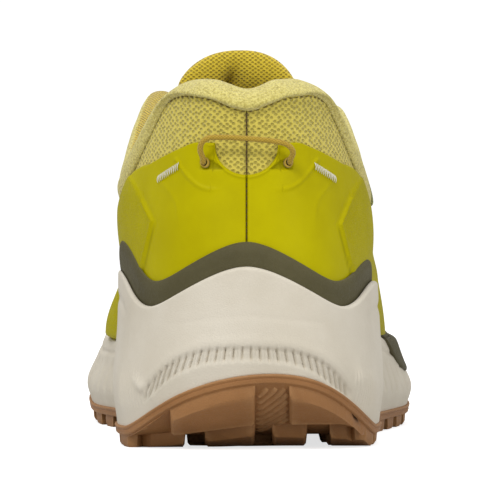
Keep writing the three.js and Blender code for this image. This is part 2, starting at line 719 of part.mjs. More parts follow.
// A point of the tongue: t from its sewn end to its tip, w from -1 to 1 across, out from its front face.
function tongue(t, w, out) {
  const tangent = tongueLine.getTangent(clamp(t, 0, 1));
  const normal = V(0, tangent.z, -tangent.y).normalize();
  const round = t > 0.9 ? Math.sqrt(1 - 0.75 * ((t - 0.9) / 0.1) ** 2) : 1;
  const half = tongueHalf(t) * round * stretch.x;
  return tongueLine
    .getPoint(clamp(t, 0, 1))
    .add(V(w * half, 0, 0))
    .addScaledVector(normal, out - tongueDroop(t) * w * w);
}
const facingWall = 0.9;
const foldAt = 0.7; // where the padded tip folds over the lacing
const tongueLower = { from: 0, to: foldAt - 0.004, rows: 9 };
const tongueTip = { from: foldAt + 0.004, to: 1, rows: 6 };
function tongueLayer({ from, to, rows }, outer, inner, edge = 1) {
  return shell(6, rows, (a, b, inside) => {
    const w = lerp(edge, -edge, a);
    const t = lerp(from, to, b);
    return tongue(t, w, inside ? inner(t) : outer(t));
  });
}
const tongueFacing = (span) => tongueLayer(span, () => 0, () => -facingWall);
const tonguePad = (span) =>
  tongueLayer(span, () => -facingWall - gap, (t) => -facingWall - gap - tongueFoam(t), 0.94);
const tongueLining = (span) =>
  tongueLayer(
    span,
    (t) => -facingWall - 2 * gap - tongueFoam(t),
    (t) => -2 * facingWall - 2 * gap - tongueFoam(t),
  );

// ---------------------------------------------------------------- lacing
const rowStation = (row) => lerp(7.05, 5.8, row / (laceRows - 1));

// Where a lace loop sits: beside the throat's edge, with its own three directions.
function loopPlace(side, row) {
  const u = side * rowStation(row);
  const { along, up, out } = directions(u, 0.97);
  const heelwards = along.clone().multiplyScalar(-side);
  const inwards = up.clone().addScaledVector(heelwards, -up.dot(heelwards)).normalize();
  return {
    centre: face(u, 1).addScaledVector(inwards, 5.5).addScaledVector(out, 1.8),
    heelwards,
    inwards,
    out: inwards.clone().cross(heelwards).multiplyScalar(side).normalize(),
  };
}

// A webbing loop: a ring round the lace and a tab sewn down on the eyestay.
function laceLoop(side, row) {
  const { centre, heelwards, inwards, out } = loopPlace(side, row);
  const at = (i, o) => centre.clone().addScaledVector(inwards, i).addScaledVector(out, o);
  const axes = [heelwards, inwards, out];
  if (new THREE.Matrix4().makeBasis(...axes).determinant() < 0) axes[0] = heelwards.clone().negate();
  const half = loopLength / 2;
  const ring = block(at(0, 0), axes, [half, 4.4, 3]);
  const hole = block(at(0, 0), axes, [half + 1, 3.6, 2.2]);
  const tab = block(at(-8.2, 0.8), axes, [half, 4.6, 0.5]);
  return ring.subtract(hole).add(tab);
}

// The lace: up both sides in crossings from a bar at the toe end, to a bow above the top pair of loops.
// swell makes it thicker, to cut its room out of the loops.
function lace(swell = 0) {
  const radius = laceRadius + swell;
  const inLoop = (side, row) => {
    const { centre, heelwards, inwards } = loopPlace(side, row);
    const held = centre.clone().addScaledVector(inwards, -0.6);
    return [-4.6, -2.4, 0, 2.4, 4.6].map((d) => held.clone().addScaledVector(heelwards, d));
  };
  const crossing = (row, over) => {
    const y = (loopPlace(1, row).centre.y + loopPlace(1, row + 1).centre.y) / 2;
    return tongue(tongueAt(y), 0, over);
  };
  const bow = knotPlace();
  const strand = (start, over) => {
    const points = [];
    for (let row = 0; row < laceRows; row++) {
      const side = row % 2 ? -start : start;
      points.push(...inLoop(side, row));
      if (row + 1 < laceRows) points.push(crossing(row, over));
    }
    points.push(bow.clone().add(V(start * (laceRows % 2 ? 8 : -8), -0.5, -0.5)));
    points.push(bow);
    return points;
  };
  const left = strand(1, 5.2);
  const right = strand(-1, 2.3);
  const bar = left[0].clone().add(right[0]).multiplyScalar(0.5).add(V(0, 4, 1.5));
  const laced = tube([...right.toReversed(), bar, ...left], radius, 56);
  const knot = new THREE.SphereGeometry(1, 10, 6);
  knot.scale(5.2, 3.6, 3.4);
  knot.translate(bow.x, bow.y, bow.z);
  const bows = [1, -1].flatMap((side) => [
    tube(bowLoop(side), radius, 16),
    tube(laceTail(side), radius, 10),
  ]);
  return wasm.Manifold.union([laced, fromGeometry(knot), ...bows]);
}

// The tongue's t at a given y.
function tongueAt(y) {
  let low = 0;
  let high = 1;
  for (let i = 0; i < 20; i++) {
    const mid = (low + high) / 2;
    if (tongueLine.getPoint(mid).y > y) low = mid;
    else high = mid;
  }
  return low;
}

const knotPlace = () => tongue(tongueAt(89.5 * stretch.y), 0, laceRadius + 3.4);
// A point beside the throat, a share of the way down the wall and out from it.
const beside = (side, station, v, out) => wall(side * station, v, out);
function bowLoop(side) {
  const k = knotPlace();
  return [
    k,
    k.clone().add(V(side * 9, 1, 6)),
    beside(side, 5.95, 1, 11),
    beside(side, 6.1, 0.86, 8),
    beside(side, 6.2, 0.72, 6.4),
    beside(side, 6.4, 0.66, 6),
    beside(side, 6.58, 0.74, 6.4),
    beside(side, 6.55, 0.88, 8),
    beside(side, 6.38, 1, 11),
    k.clone().add(V(side * 9, 8, 7)),
    k.clone().add(V(side * 1, 1, 0)),
  ];
}
function laceTail(side) {
  const k = knotPlace();
  return [
    k,
    k.clone().add(V(side * 3, 8, 1)),
    tongue(0.5, side * 0.15, 14),
    tongue(0.4, side * 0.18, 15),
    tongue(0.3, side * 0.22, 15),
    tongue(0.23, side * 0.28, 14),
  ];
}
function aglet(side) {
  const path = laceTail(side);
  const end = path.at(-1);
  const direction = end.clone().sub(path.at(-2)).normalize();
  const from = end.clone().addScaledVector(direction, 0.5);
  return tube([from, from.clone().addScaledVector(direction, 14)], laceRadius * 0.9, 1, 10);
}

// ---------------------------------------------------------------- bed pieces
const insideWall = (u) => meshWall + 2 * gap + 1.6 - 0.2 * Math.min(4, Math.abs(u)) * 0;
const lastingBoard = () =>
  plate(
    (u) => insideWall(u) + gap,
    (x, y) => bed(y) + gap * 0.8,
    (x, y) => bed(y) + gap * 0.8 + boardWall,
    36,
    [0, 1],
  );

// A foam footbed with a raised rim round the heel and arch.
function insole() {
  const lower = (y) => bed(y) + gap * 1.8 + boardWall;
  return wheel((u) => {
    const s = spine(u);
    const back = 1 - smoothstep(Math.abs(u), 4, 6.5);
    const edge = outline(u, -insideWall(u) - 2.6);
    const inner = outline(u, -insideWall(u) - 7.5);
    const rise = 9 * back + 0.6;
    const lift = (p, height) => V(p.x, p.y, lower(p.y) + height);
    return [
      lift(s, 0),
      lift(inner, 0),
      lift(edge, 1.2),
      lift(edge, insoleWall * 0.5 + rise),
      lift(s.clone().lerp(edge, 0.97), insoleWall * 0.55 + rise),
      lift(inner, insoleWall),
      lift(s, insoleWall),
    ];
  }, 36);
}

// ---------------------------------------------------------------- assembly
const colours = {
  film: [0xb9b400, 0.5],
  mesh: [0xc8bd4a, 0.9],
  lining: [0xe0d060, 0.95],
  tongueFabric: [0xb89b2c, 0.95],
  foam: [0xe8e2c8, 0.9],
  midsole: [0xd8d1c2, 0.8],
  rubber: [0xa8784a, 0.75],
  olive: [0x5c5a3e, 0.7],
  thread: [0xf0efe6, 0.8],
  cord: [0xc0a13a, 0.8],
  board: [0xd9d6cc, 0.95],
  plastic: [0x3a3a34, 0.6],
};
const shoe = new THREE.Group();

// Adds a solid to a group as a named mesh with its own material.
function add(name, body, colour, group = shoe) {
  const { vertProperties, triVerts } = body.getMesh();
  const geometry = new THREE.BufferGeometry();
  geometry.setAttribute("position", new THREE.BufferAttribute(vertProperties, 3));
  geometry.setIndex(new THREE.BufferAttribute(triVerts, 1));
  geometry.computeVertexNormals();
  const [color, roughness] = colours[colour];
  const mesh = new THREE.Mesh(
    geometry,
    new THREE.MeshStandardMaterial({ color, roughness, metalness: 0, flatShading: true }),
  );
  mesh.name = name;
  group.add(mesh);
}

const sides = { lateral: 1, medial: -1 };
const laceRoom = lace(0.3);
add("outsole", outsole(), "rubber");
add("midsole", midsole(), "midsole");
add("shank_plate", shankPlate(), "plastic");
add("lasting_board", lastingBoard(), "board");
add("heel_band", heelBand(), "olive");
add("forefoot_band", forefootBand(), "olive");
add("vamp", closedToe({ start: vampFront, from: 25 / 3, outer: 0, inner: -meshWall }), "mesh");
add("toe_cap", toeCap(), "film");
add("toe_puff", toePuff(), "board");
add("vamp_lining", vampLining(), "lining");
add("heel_counter", heelCounter(), "plastic");
add("collar_foam", collarPad(), "foam");
add("collar_lining", collarLining(), "lining");
add("back_seam", backSeam(), "olive");
for (const [name, side] of Object.entries(sides)) {
  add(`quarter_${name}`, quarter(side), "mesh");
  add(`quarter_lining_${name}`, quarterLining(side), "lining");
  add(`heel_film_${name}`, heelFilm(side), "film");
  add(`side_panel_${name}`, sidePanel(side), "film");
  add(`eyestay_${name}`, eyestay(side), "film");
  add(`bar_tack_${name}`, barTack(side), "thread");
  add(`pull_eyelet_${name}`, pullEyelet(side), "film");
  add(`aglet_${name}`, aglet(side), "olive");
  for (let row = 0; row < laceRows; row++)
    add(`lace_loop_${name}_${row + 1}`, largest(laceLoop(side, row).subtract(laceRoom)), "olive");
}
add("tongue_facing", tongueFacing(tongueLower), "tongueFabric");
add("tongue_foam", tonguePad(tongueLower), "foam");
add("tongue_lining", tongueLining(tongueLower), "tongueFabric");
add("lace", lace(), "cord");

// The pieces that move: the heel loop, the tongue's tip and the loose insole.
const moving = new THREE.Group();
shoe.add(moving);
add("pull_loop", pullLoop(), "cord", moving);
add("tongue_tip_facing", tongueFacing(tongueTip), "tongueFabric", moving);
add("tongue_tip_foam", tonguePad(tongueTip), "foam", moving);
add("tongue_tip_lining", tongueLining(tongueTip), "tongueFabric", moving);
add("insole", insole(), "foam", moving);

export default shoe;
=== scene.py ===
# A trail running shoe for the right foot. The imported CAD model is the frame: nearly every visible piece is
# made here, and four stiff inner ones keep their CAD shape. Lengths are written in millimetres and built in
# metres, with +Z up, +Y towards the toe and +X the outer side.
import bpy
import bmesh
import math
import numpy as np
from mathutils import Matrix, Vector


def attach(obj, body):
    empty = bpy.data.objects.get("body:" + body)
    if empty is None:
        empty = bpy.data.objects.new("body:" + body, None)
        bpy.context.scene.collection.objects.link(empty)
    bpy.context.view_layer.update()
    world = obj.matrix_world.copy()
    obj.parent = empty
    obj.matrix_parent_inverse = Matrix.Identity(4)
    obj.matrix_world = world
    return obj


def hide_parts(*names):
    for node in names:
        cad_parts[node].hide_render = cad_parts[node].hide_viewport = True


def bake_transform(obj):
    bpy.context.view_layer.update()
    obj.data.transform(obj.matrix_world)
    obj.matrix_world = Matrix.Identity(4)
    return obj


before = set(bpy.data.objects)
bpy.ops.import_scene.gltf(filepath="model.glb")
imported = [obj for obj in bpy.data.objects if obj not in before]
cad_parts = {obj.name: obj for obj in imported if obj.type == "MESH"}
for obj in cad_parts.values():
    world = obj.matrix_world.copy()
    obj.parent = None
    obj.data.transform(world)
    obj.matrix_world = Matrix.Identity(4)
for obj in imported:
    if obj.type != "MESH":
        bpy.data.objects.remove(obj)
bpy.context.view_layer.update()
scene = bpy.context.scene
mm = 0.001

# ---- camera first: a long lens straight behind the heel
view = {"place": (1.1, -2043, 98), "target": (1.1, -43, 65.2), "lens": 446.4, "sensor": 36}
cameraData = bpy.data.cameras.new("heelCamera")
cameraData.lens = view["lens"]
cameraData.sensor_width = view["sensor"]
camera = bpy.data.objects.new("heelCamera", cameraData)
scene.collection.objects.link(camera)
camera.location = Vector(view["place"]) * mm
aim = Vector(view["target"]) - Vector(view["place"])
camera.rotation_euler = aim.to_track_quat("-Z", "Y").to_euler()
scene.camera = camera


# ---- curves and blends used everywhere
def mix(a, b, t):
    return a + (b - a) * t


def smoothStep(x, a, b):  # 0 before a, 1 after b, a cubic ease between
    t = np.clip((x - a) / (b - a), 0, 1)
    return t * t * (3 - 2 * t)


def bell(x, middle, width):  # 1 at the middle, falling off as a Gaussian
    return np.exp(-(((x - middle) / width) ** 2))


def unit(a):
    return a / np.maximum(np.linalg.norm(a, axis=-1, keepdims=True), 1e-9)


def hermite(t, a, slopeA, b, slopeB):  # the cubic from a to b that leaves and arrives at the given slopes
    start = (2 * t**3 - 3 * t * t + 1) * a + (t**3 - 2 * t * t + t) * slopeA
    return start + (3 * t * t - 2 * t**3) * b + (t**3 - t * t) * slopeB


def catmullRom(t, a, b, c, d):  # the smooth curve from b to c that also heeds a and d
    first = (-t + 2 * t * t - t**3) * a + (2 - 5 * t * t + 3 * t**3) * b
    return (first + (t + 4 * t * t - 3 * t**3) * c + (-t * t + t**3) * d) / 2


# cubic pieces with harmonic-mean slopes, so it never overshoots the [at, value] pairs
def curveThrough(pairs):
    xs, ys = np.array(pairs, float).T
    rise = np.diff(ys) / np.diff(xs)
    slope = np.zeros_like(xs)
    before, after = rise[:-1], rise[1:]
    both = before * after > 0
    slope[1:-1][both] = (2 * before * after)[both] / (before + after)[both]

    def value(x):
        x = np.clip(x, xs[0], xs[-1])
        i = np.clip(np.searchsorted(xs, x, side="right") - 1, 0, len(xs) - 2)
        w = xs[i + 1] - xs[i]
        t = (x - xs[i]) / w
        return hermite(t, ys[i], w * slope[i], ys[i + 1], w * slope[i + 1])

    return value


def alongKnots(knots, t, closed=False):  # Catmull-Rom through knots stacked on the first axis, t from 0 to 1
    n = len(knots)
    spans = n if closed else n - 1
    s = np.clip(np.asarray(t, float), 0, 1) * spans
    i = np.minimum(np.floor(s).astype(int), spans - 1)
    f = (s - i).reshape((-1,) + (1,) * (knots.ndim - 1))
    pick = (lambda k: knots[k % n]) if closed else (lambda k: knots[np.clip(k, 0, n - 1)])
    a, b, c, d = pick(i - 1), pick(i), pick(i + 1), pick(i + 2)
    if not closed:
        a = np.where((i == 0).reshape(f.shape), 2 * b - c, a)
        d = np.where((i == spans - 1).reshape(f.shape), 2 * c - b, d)
    return catmullRom(f, a, b, c, d)


def crowded(n, ends=0.75):  # n + 1 shares from 0 to 1, closer together at both ends
    t = np.linspace(0, 1, n + 1)
    return mix(t, (1 - np.cos(np.pi * t)) / 2, ends)


# ---- the last: four rails round the shoe, and a Bezier wall on them
last = {
    "heelStack": 30, "drop": 9, "toeSpring": 7.5, "lugDepth": 4, "rubber": 2.6, "heelBevel": 18,
    "toeBevel": 19,
}
wallOf = {"gap": 0.4, "mesh": 1.3, "liningOut": -2.9, "liningIn": -3.6, "collarFoam": 5.4}
gap = wallOf["gap"]


def bed(y):  # height of the midsole's bed: heel stack less an eased drop, plus a parabola at the toe
    drop = last["drop"] * smoothStep(y, 30, 150)
    return last["heelStack"] - drop + last["toeSpring"] * np.maximum(0, (y - 170) / 77) ** 2


def treadBase(x, y):  # outsole between its lugs: flat, swept up by powers of the distance at heel and toe
    back = np.maximum(0, (-6 - (y - 0.14 * x)) / 36)
    front = np.maximum(0, (y - 152) / 103)
    return last["lugDepth"] + last["heelBevel"] * back**1.7 + last["toeBevel"] * front**2


# stations 0 (heel) to 12 (toe): lower edge x y, side bend x y z, crown bend x y z, upper edge x y height
outerSide = [
    [0, -33, 0, -11, 25, 0, 6, -24, 0, -32, 82],
    [19, -27, 5, -8, 25, -1, 4, -24, 14, -28, 85.5],
    [30, -9, 6, -3, 24, 3, 1, -24, 25, -13, 84.5],
    [33.5, 18, 5.5, 0, 22, 9, 0, -23, 33.5, 10, 68],
    [33.5, 50, 6, 0, 22, 6.5, 0, -17, 37.5, 38, 57],
    [35.5, 82, 7, 0, 22, 11, 2, -19, 31, 70, 82.5],
    [41, 114, 6, 0, 21, 15, 3, -9, 25, 97, 76],
    [46, 146, 5, 0, 20, 19, 3, -6, 18.5, 131, 61.5],
    [46.5, 176, 4, 0, 20, 23, 3, -1.2, -1, 166, 45],
    [42, 203, 4, 1, 18, 21, 3, -1, -3, 191, 36.5],
    [32.5, 225, 4, 4, 15, 17, 6, -2.1, -4, 210, 29],
    [16, 241, 2.5, 5, 12, 10, 7, -3, -5, 222, 24.5],
    [-5, 247, 0, 6, 10, 0, 8, -4.2, -5.5, 231, 20],
]
innerSide = [  # stations -1 to -11
    [-19, -27, -5, -8, 25, 1, 4, -24, -14, -28, 85.5],
    [-30, -9, -6, -3, 24, -3, 1, -24, -25, -13, 84.5],
    [-32.5, 18, -5.5, 0, 22, -9, 0, -23, -34.5, 10, 69],
    [-30.5, 50, -7, 0, 22, -6.5, 0, -17, -39.2, 38, 60],
    [-29, 82, -8, 0, 22, -11, 2, -19, -32, 70, 87],
    [-34, 114, -6, 0, 21, -15, 3, -9, -24.5, 97, 78],
    [-41, 146, -6, 0, 20, -19, 3, -6, -18.5, 131, 62.5],
    [-45, 176, -6.5, 0, 20, -23, 3, -1.2, -1, 166, 45],
    [-45, 203, -5, 1, 18, -22, 3, -1, -3, 191, 36.5],
    [-39, 225, -4, 4, 15, -18, 6, -2.1, -4, 210, 29],
    [-25.5, 241, -2.5, 5, 12, -11, 7, -3, -5, 222, 24.5],
]
toe = 12
bothSides = {"lateral": 1, "medial": -1}
stations = np.array(outerSide + innerSide[::-1], float)
footRail = np.column_stack([stations[:, :2], bed(stations[:, 1]) + gap])
topRail = np.column_stack([stations[:, 8:10], bed(stations[:, 9]) + stations[:, 10]])
rails = np.array([footRail, footRail + stations[:, 2:5], topRail + stations[:, 5:8], topRail])


# closed uniform Catmull-Rom, u in stations: positive down the outer side, negative the inner
def onRail(k, u):
    u = np.asarray(u, float)
    i = np.floor(u).astype(int)
    t = (u - i)[..., None]
    a, b, c, d = (rails[k][(i + j) % len(stations)] for j in (-1, 0, 1, 2))
    return catmullRom(t, a, b, c, d)


def face(u, v):  # cubic Bezier on the four rails: v from 0 at the bed to 1 at the upper edge
    u, v = np.broadcast_arrays(np.asarray(u, float), np.asarray(v, float))
    w = v[..., None]
    shares = (1 - w) ** 3, 3 * w * (1 - w) ** 2, 3 * w * w * (1 - w), w**3
    return sum(share * onRail(k, u) for k, share in enumerate(shares))


def directions(u, v):  # along, up and out on that face, by small differences
    at = np.clip(v, 0.01, 0.98)
    along = unit(face(u + 0.02, at) - face(u - 0.02, at))
    up = unit(face(u, at + 0.01) - face(u, at - 0.01))
    return along, up, unit(np.cross(along, up))


def wall(u, v, out, rise=0.0):  # a point out from the face, and rise further along its upward direction
    u, v = np.asarray(u, float), np.asarray(v, float)
    up, away = directions(u, v)[1:]
    return face(u, v) + away * np.asarray(out, float)[..., None] + up * np.asarray(rise, float)[..., None]


def vAt(u, height):  # the v at which the wall reaches a height above the bed, by halving
    u, height = np.broadcast_arrays(np.asarray(u, float), np.asarray(height, float))
    low, high = np.zeros(u.shape), np.ones(u.shape)
    for step in range(22):
        middle = (low + high) / 2
        p = face(u, middle)
        below = p[..., 2] - bed(p[..., 1]) < height
        low, high = np.where(below, middle, low), np.where(below, high, middle)
    return (low + high) / 2


def spine(u):  # the sole's middle line
    y = np.clip((onRail(0, u)[..., 1] + onRail(0, -np.asarray(u, float))[..., 1]) / 2, 0, 226)
    return np.stack([-5 * smoothStep(y, 60, 220), y, 0 * y], -1)


def outline(u, out):  # the upper's lower edge on the ground plan, moved outwards
    u = np.asarray(u, float)
    t = onRail(0, u + 0.02) - onRail(0, u - 0.02)
    normal = unit(np.stack([t[..., 1], -t[..., 0], 0 * t[..., 0]], -1))
    p = onRail(0, u)
    p[..., 2] = 0
    return p + normal * np.asarray(out, float)[..., None]


soleOut = curveThrough([[0, 8.5], [1, 9.5], [3, 10.5], [5, 8], [6.5, 8.5], [8, 10.5], [10, 8], [12, 6.5]])
rim = curveThrough(
    [
        [-12, 9], [-10, 9.5], [-8, 9], [-6.5, 9.5], [-5, 12.5], [-3.25, 27.5], [-1.6, 16.2], [0, 29],
        [1.6, 16.2], [3.1, 24], [4.6, 12], [6.5, 9], [8, 9], [10, 10], [12, 9],
    ]
)


def around(u):  # any turn back to -12 .. 12
    return np.where(u > toe, u - len(stations), u)


# ---- meshes from grids of points
def arcPlace(points):  # a place in metres along and across the sheet, from the grid's own arc lengths
    stepA = np.linalg.norm(np.diff(points, axis=0), axis=2).mean(axis=1)
    stepB = np.linalg.norm(np.diff(points, axis=1), axis=2)
    a = np.concatenate([[0], np.cumsum(stepA)])[:, None] + np.zeros(points.shape[:2])
    b = np.concatenate([np.zeros((len(points), 1)), np.cumsum(stepB, axis=1)], axis=1)
    return np.stack([a, b], 2) * mm


def patch(points, place=None, marks=None):
    return {"points": points, "place": arcPlace(points) if place is None else place, "marks": marks or {}}


# a closed body between two grids: both faces and four edge strips
def shell(outer, inner, marks=None, place=None):
    strips = [
        np.stack([inner[:, 0], outer[:, 0]], 1), np.stack([outer[:, -1], inner[:, -1]], 1),
        np.stack([outer[0], inner[0]], 1), np.stack([inner[-1], outer[-1]], 1),
    ]
    return [patch(outer, place, marks), patch(inner[::-1])] + [patch(s) for s in strips]


def buildPiece(name, patches, finish, body="shoe", stands=(), crease=42, weld=0.004):
    points, faces, places, marks, start = [], [], [], {}, 0
    total = sum(p["points"].shape[0] * p["points"].shape[1] for p in patches)
    for p in patches:
        n, m = p["points"].shape[:2]
        index = start + np.arange(n * m).reshape(n, m)
        faces.append(
            np.stack([index[:-1, :-1], index[1:, :-1], index[1:, 1:], index[:-1, 1:]], -1).reshape(-1, 4)
        )
        points.append(p["points"].reshape(-1, 3))
        places.append(p["place"].reshape(-1, 2))
        for key, value in p["marks"].items():
            row = marks.setdefault(key, np.zeros(total))
            row[start : start + n * m] = np.broadcast_to(value, (n, m)).ravel()
        start += n * m
    points, faces, places = np.concatenate(points) * mm, np.concatenate(faces), np.concatenate(places)
    mesh = bpy.data.meshes.new(name)
    mesh.from_pydata(points.tolist(), [], faces.tolist())
    layer = mesh.uv_layers.new(name="sheet")
    layer.data.foreach_set("uv", places[faces.ravel()].astype(np.float32).ravel())
    for key, value in marks.items():
        mesh.attributes.new(key, "FLOAT", "POINT").data.foreach_set("value", value.astype(np.float32))
    welded = bmesh.new()
    welded.from_mesh(mesh)
    bmesh.ops.remove_doubles(welded, verts=welded.verts, dist=weld * mm)
    bmesh.ops.dissolve_degenerate(welded, edges=welded.edges, dist=weld * mm * 0.2)
    bmesh.ops.recalc_face_normals(welded, faces=welded.faces)
    welded.to_mesh(mesh)
    welded.free()
    mesh.polygons.foreach_set("use_smooth", np.ones(len(mesh.polygons), bool))
    mesh.set_sharp_from_angle(angle=math.radians(crease))
    piece = bpy.data.objects.new(name, mesh)
    scene.collection.objects.link(piece)
    mesh.materials.append(finish)
    if body:
        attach(piece, body)
    if stands:
        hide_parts(*stands)
    return piece


# a round profile carried along a path by turning frames, with half-round ends
def tubeGrid(path, radius, sides=14):
    path = np.asarray(path, float)
    tangent = unit(np.gradient(path, axis=0))
    side = np.zeros_like(path)
    first = np.cross(tangent[0], [0.0, 0.3, 1.0])
    side[0] = unit(first)
    for k in range(1, len(path)):
        turned = side[k - 1] - tangent[k] * np.dot(side[k - 1], tangent[k])
        side[k] = unit(turned)
    other = np.cross(tangent, side)
    angle = np.linspace(0, 2 * np.pi, sides + 1)
    swell = np.concatenate([[0, 0.5, 0.87], np.ones(len(path)), [0.87, 0.5, 0]])
    path, tangent, side, other = (
        np.concatenate([a[:1]] * 3 + [a] + [a[-1:]] * 3) for a in (path, tangent, side, other)
    )
    shift = np.concatenate([[-0.6, -0.5, -0.3], np.zeros(len(path) - 6), [0.3, 0.5, 0.6]]) * radius
    path = path + tangent * shift[:, None]
    ring = side[:, None] * np.cos(angle)[None, :, None] + other[:, None] * np.sin(angle)[None, :, None]
    grid = path[:, None] + ring * (radius * swell)[:, None, None]
    length = np.concatenate([[0], np.cumsum(np.linalg.norm(np.diff(path, axis=0), axis=1))]) * mm
    place = np.stack(np.broadcast_arrays(angle[None, :] / (2 * np.pi), length[:, None]), -1)
    return patch(grid, place)


# short threads: rings of five round each line, arched outwards
def stitchGrids(starts, ends, out, thick=0.32, arch=0.3):
    share = np.linspace(0, 1, 7)
    swell = np.sqrt(np.maximum(0, 1 - (2 * share - 1) ** 4))
    line = starts[:, None] + (ends - starts)[:, None] * share[None, :, None]
    line = line + out[:, None] * ((arch * np.sin(np.pi * share) - 0.1)[None, :, None])
    across = unit(np.cross(ends - starts, out))
    angle = np.linspace(0, 2 * np.pi, 7)
    ring = across[:, None, :] * np.cos(angle)[None, :, None] + out[:, None, :] * np.sin(angle)[None, :, None]
    grids = line[:, :, None, :] + ring[:, None] * (thick * swell)[None, :, None, None]
    place = np.stack(np.broadcast_arrays(angle[None, :] / (2 * np.pi), share[:, None] * 0.002), -1)
    return [patch(g, place) for g in grids]


# stitches along a line of wall points, each a share of its step
def seamStitches(u, v, out, length=0.62, **form):
    points, away = wall(u, v, out), directions(u, v)[2]
    step = np.diff(points, axis=0)
    return stitchGrids(
        points[:-1] + step * (0.5 - length / 2), points[:-1] + step * (0.5 + length / 2), away[:-1], **form,
    )


def evenLine(u, v, pitch):  # the stations and v of points a pitch apart along a line on the wall
    p = face(u, v)
    run = np.concatenate([[0], np.cumsum(np.linalg.norm(np.diff(p, axis=0), axis=1))])
    count = max(2, int(round(run[-1] / pitch)))
    at = np.linspace(0, run[-1], count + 1)
    return np.interp(at, run, u), np.interp(at, run, v)


print("frame and last ready")


# ---- finishes
def paint(r, g, b):  # a colour from 0-255 display values
    c = np.array([r, g, b]) / 255
    return tuple(np.where(c <= 0.04045, c / 12.92, ((c + 0.055) / 1.055) ** 2.4)) + (1.0,)


def shade(colour, share):  # the same colour, darker
    return tuple(c * share for c in colour[:3]) + (1,)


def node(tree, kind, sockets=None, **fields):
    made = tree.nodes.new(kind)
    for field, value in fields.items():
        setattr(made, field, value)
    for key, value in (sockets or {}).items():
        if isinstance(value, bpy.types.NodeSocket):
            tree.links.new(value, made.inputs[key])
        else:
            made.inputs[key].default_value = value
    return made


def sums(tree, operation, a, b=0.0, clamp=False):
    return node(tree, "ShaderNodeMath", {0: a, 1: b}, operation=operation, use_clamp=clamp).outputs[0]


def times(tree, a, b, clamp=False):
    return sums(tree, "MULTIPLY", a, b, clamp)


def plus(tree, a, b):
    return sums(tree, "ADD", a, b)


def minus(tree, a, b):
    return sums(tree, "SUBTRACT", a, b)


def ramp(tree, value, low, high, toLow=0.0, toHigh=1.0):  # a smooth step of a value between two limits
    made = node(
        tree, "ShaderNodeMapRange",
        {"Value": value, "From Min": low, "From Max": high, "To Min": toLow, "To Max": toHigh},
        interpolation_type="SMOOTHSTEP",
    )
    return made.outputs["Result"]


def tint(tree, share, a, b):  # a blend of two colours
    return node(tree, "ShaderNodeMix", {0: share, 6: a, 7: b}, data_type="RGBA").outputs[2]


def noise(tree, vector, scale, detail, **sockets):
    sockets = {"Vector": vector, "Scale": scale, "Detail": detail, **sockets}
    return node(tree, "ShaderNodeTexNoise", sockets)


def shaderGroup(name, inputs, outputs, build):  # the pattern's place comes in first, then named numbers
    tree = bpy.data.node_groups.new(name, "ShaderNodeTree")
    tree.interface.new_socket(name="Vector", in_out="INPUT", socket_type="NodeSocketVector")
    for label, value in inputs.items():
        socket = tree.interface.new_socket(name=label, in_out="INPUT", socket_type="NodeSocketFloat")
        socket.default_value = value
    for label in outputs:
        tree.interface.new_socket(name=label, in_out="OUTPUT", socket_type="NodeSocketFloat")
    enter, leave = tree.nodes.new("NodeGroupInput"), tree.nodes.new("NodeGroupOutput")
    for label, socket in build(tree, enter.outputs).items():
        tree.links.new(socket, leave.inputs[label])
    return tree


def scaled(tree, vector, scale, stretch=(1, 1, 1)):
    wide = node(tree, "ShaderNodeVectorMath", {0: vector, 1: stretch}, operation="MULTIPLY").outputs[0]
    return node(tree, "ShaderNodeVectorMath", {0: wide, "Scale": scale}, operation="SCALE").outputs[0]


# a lattice of holes turned an eighth of a turn, its points nudged by noise, with fibre in the yarn
def knitBuild(tree, into):
    cell = scaled(tree, into["Vector"], sums(tree, "DIVIDE", 1000.0, into["Pitch"]), (1, 1.35, 1))
    turned = node(
        tree, "ShaderNodeVectorRotate", {"Vector": cell, "Angle": math.pi / 4}, rotation_type="Z_AXIS",
    ).outputs[0]
    holes = node(
        tree, "ShaderNodeTexVoronoi", {"Vector": turned, "Scale": 1.0, "Randomness": into["Irregular"]},
        voronoi_dimensions="2D",
    )
    fibre = noise(tree, turned, 4.5, 4.0, Roughness=0.7)
    patchy = noise(tree, turned, 0.35, 3.0)
    reach = plus(tree, holes.outputs["Distance"], times(tree, minus(tree, fibre.outputs[0], 0.5), 0.22))
    hole = ramp(tree, reach, 0.1, 0.46, 1.0, 0.0)
    high = minus(tree, times(tree, fibre.outputs[0], 0.35), hole)
    return {"Hole": hole, "Height": high, "Fibre": fibre.outputs[0], "Patchy": patchy.outputs[0]}


def brushedBuild(tree, into):  # curled nap: two noises at the clump's size and a cell pattern between them
    place = scaled(tree, into["Vector"], sums(tree, "DIVIDE", 1000.0, into["Size"]))
    clump = node(
        tree, "ShaderNodeTexVoronoi", {"Vector": place, "Scale": 1.0, "Randomness": 1.0}, feature="SMOOTH_F1",
    )
    nap = noise(tree, place, 2.2, 6.0, Roughness=0.75, Distortion=1.2)
    tone = plus(tree, times(tree, nap.outputs[0], 0.7), times(tree, clump.outputs["Distance"], 0.45))
    return {"Tone": tone, "Height": minus(tree, nap.outputs[0], times(tree, clump.outputs["Distance"], 0.8))}


def pebbleBuild(tree, into):  # leather-like pebbles: rounded cells with creases between them
    place = scaled(tree, into["Vector"], sums(tree, "DIVIDE", 1000.0, into["Size"]))
    bend = noise(tree, place, 0.9, 2.0)
    moved = node(
        tree, "ShaderNodeVectorMath", {0: place, 1: bend.outputs["Color"]}, operation="ADD",
    ).outputs[0]
    cells = node(tree, "ShaderNodeTexVoronoi", {"Vector": moved, "Scale": 1.0}, feature="DISTANCE_TO_EDGE")
    crease = ramp(tree, cells.outputs["Distance"], 0.0, 0.22, 1.0, 0.0)
    return {"Crease": crease, "Height": minus(tree, 1.0, crease)}


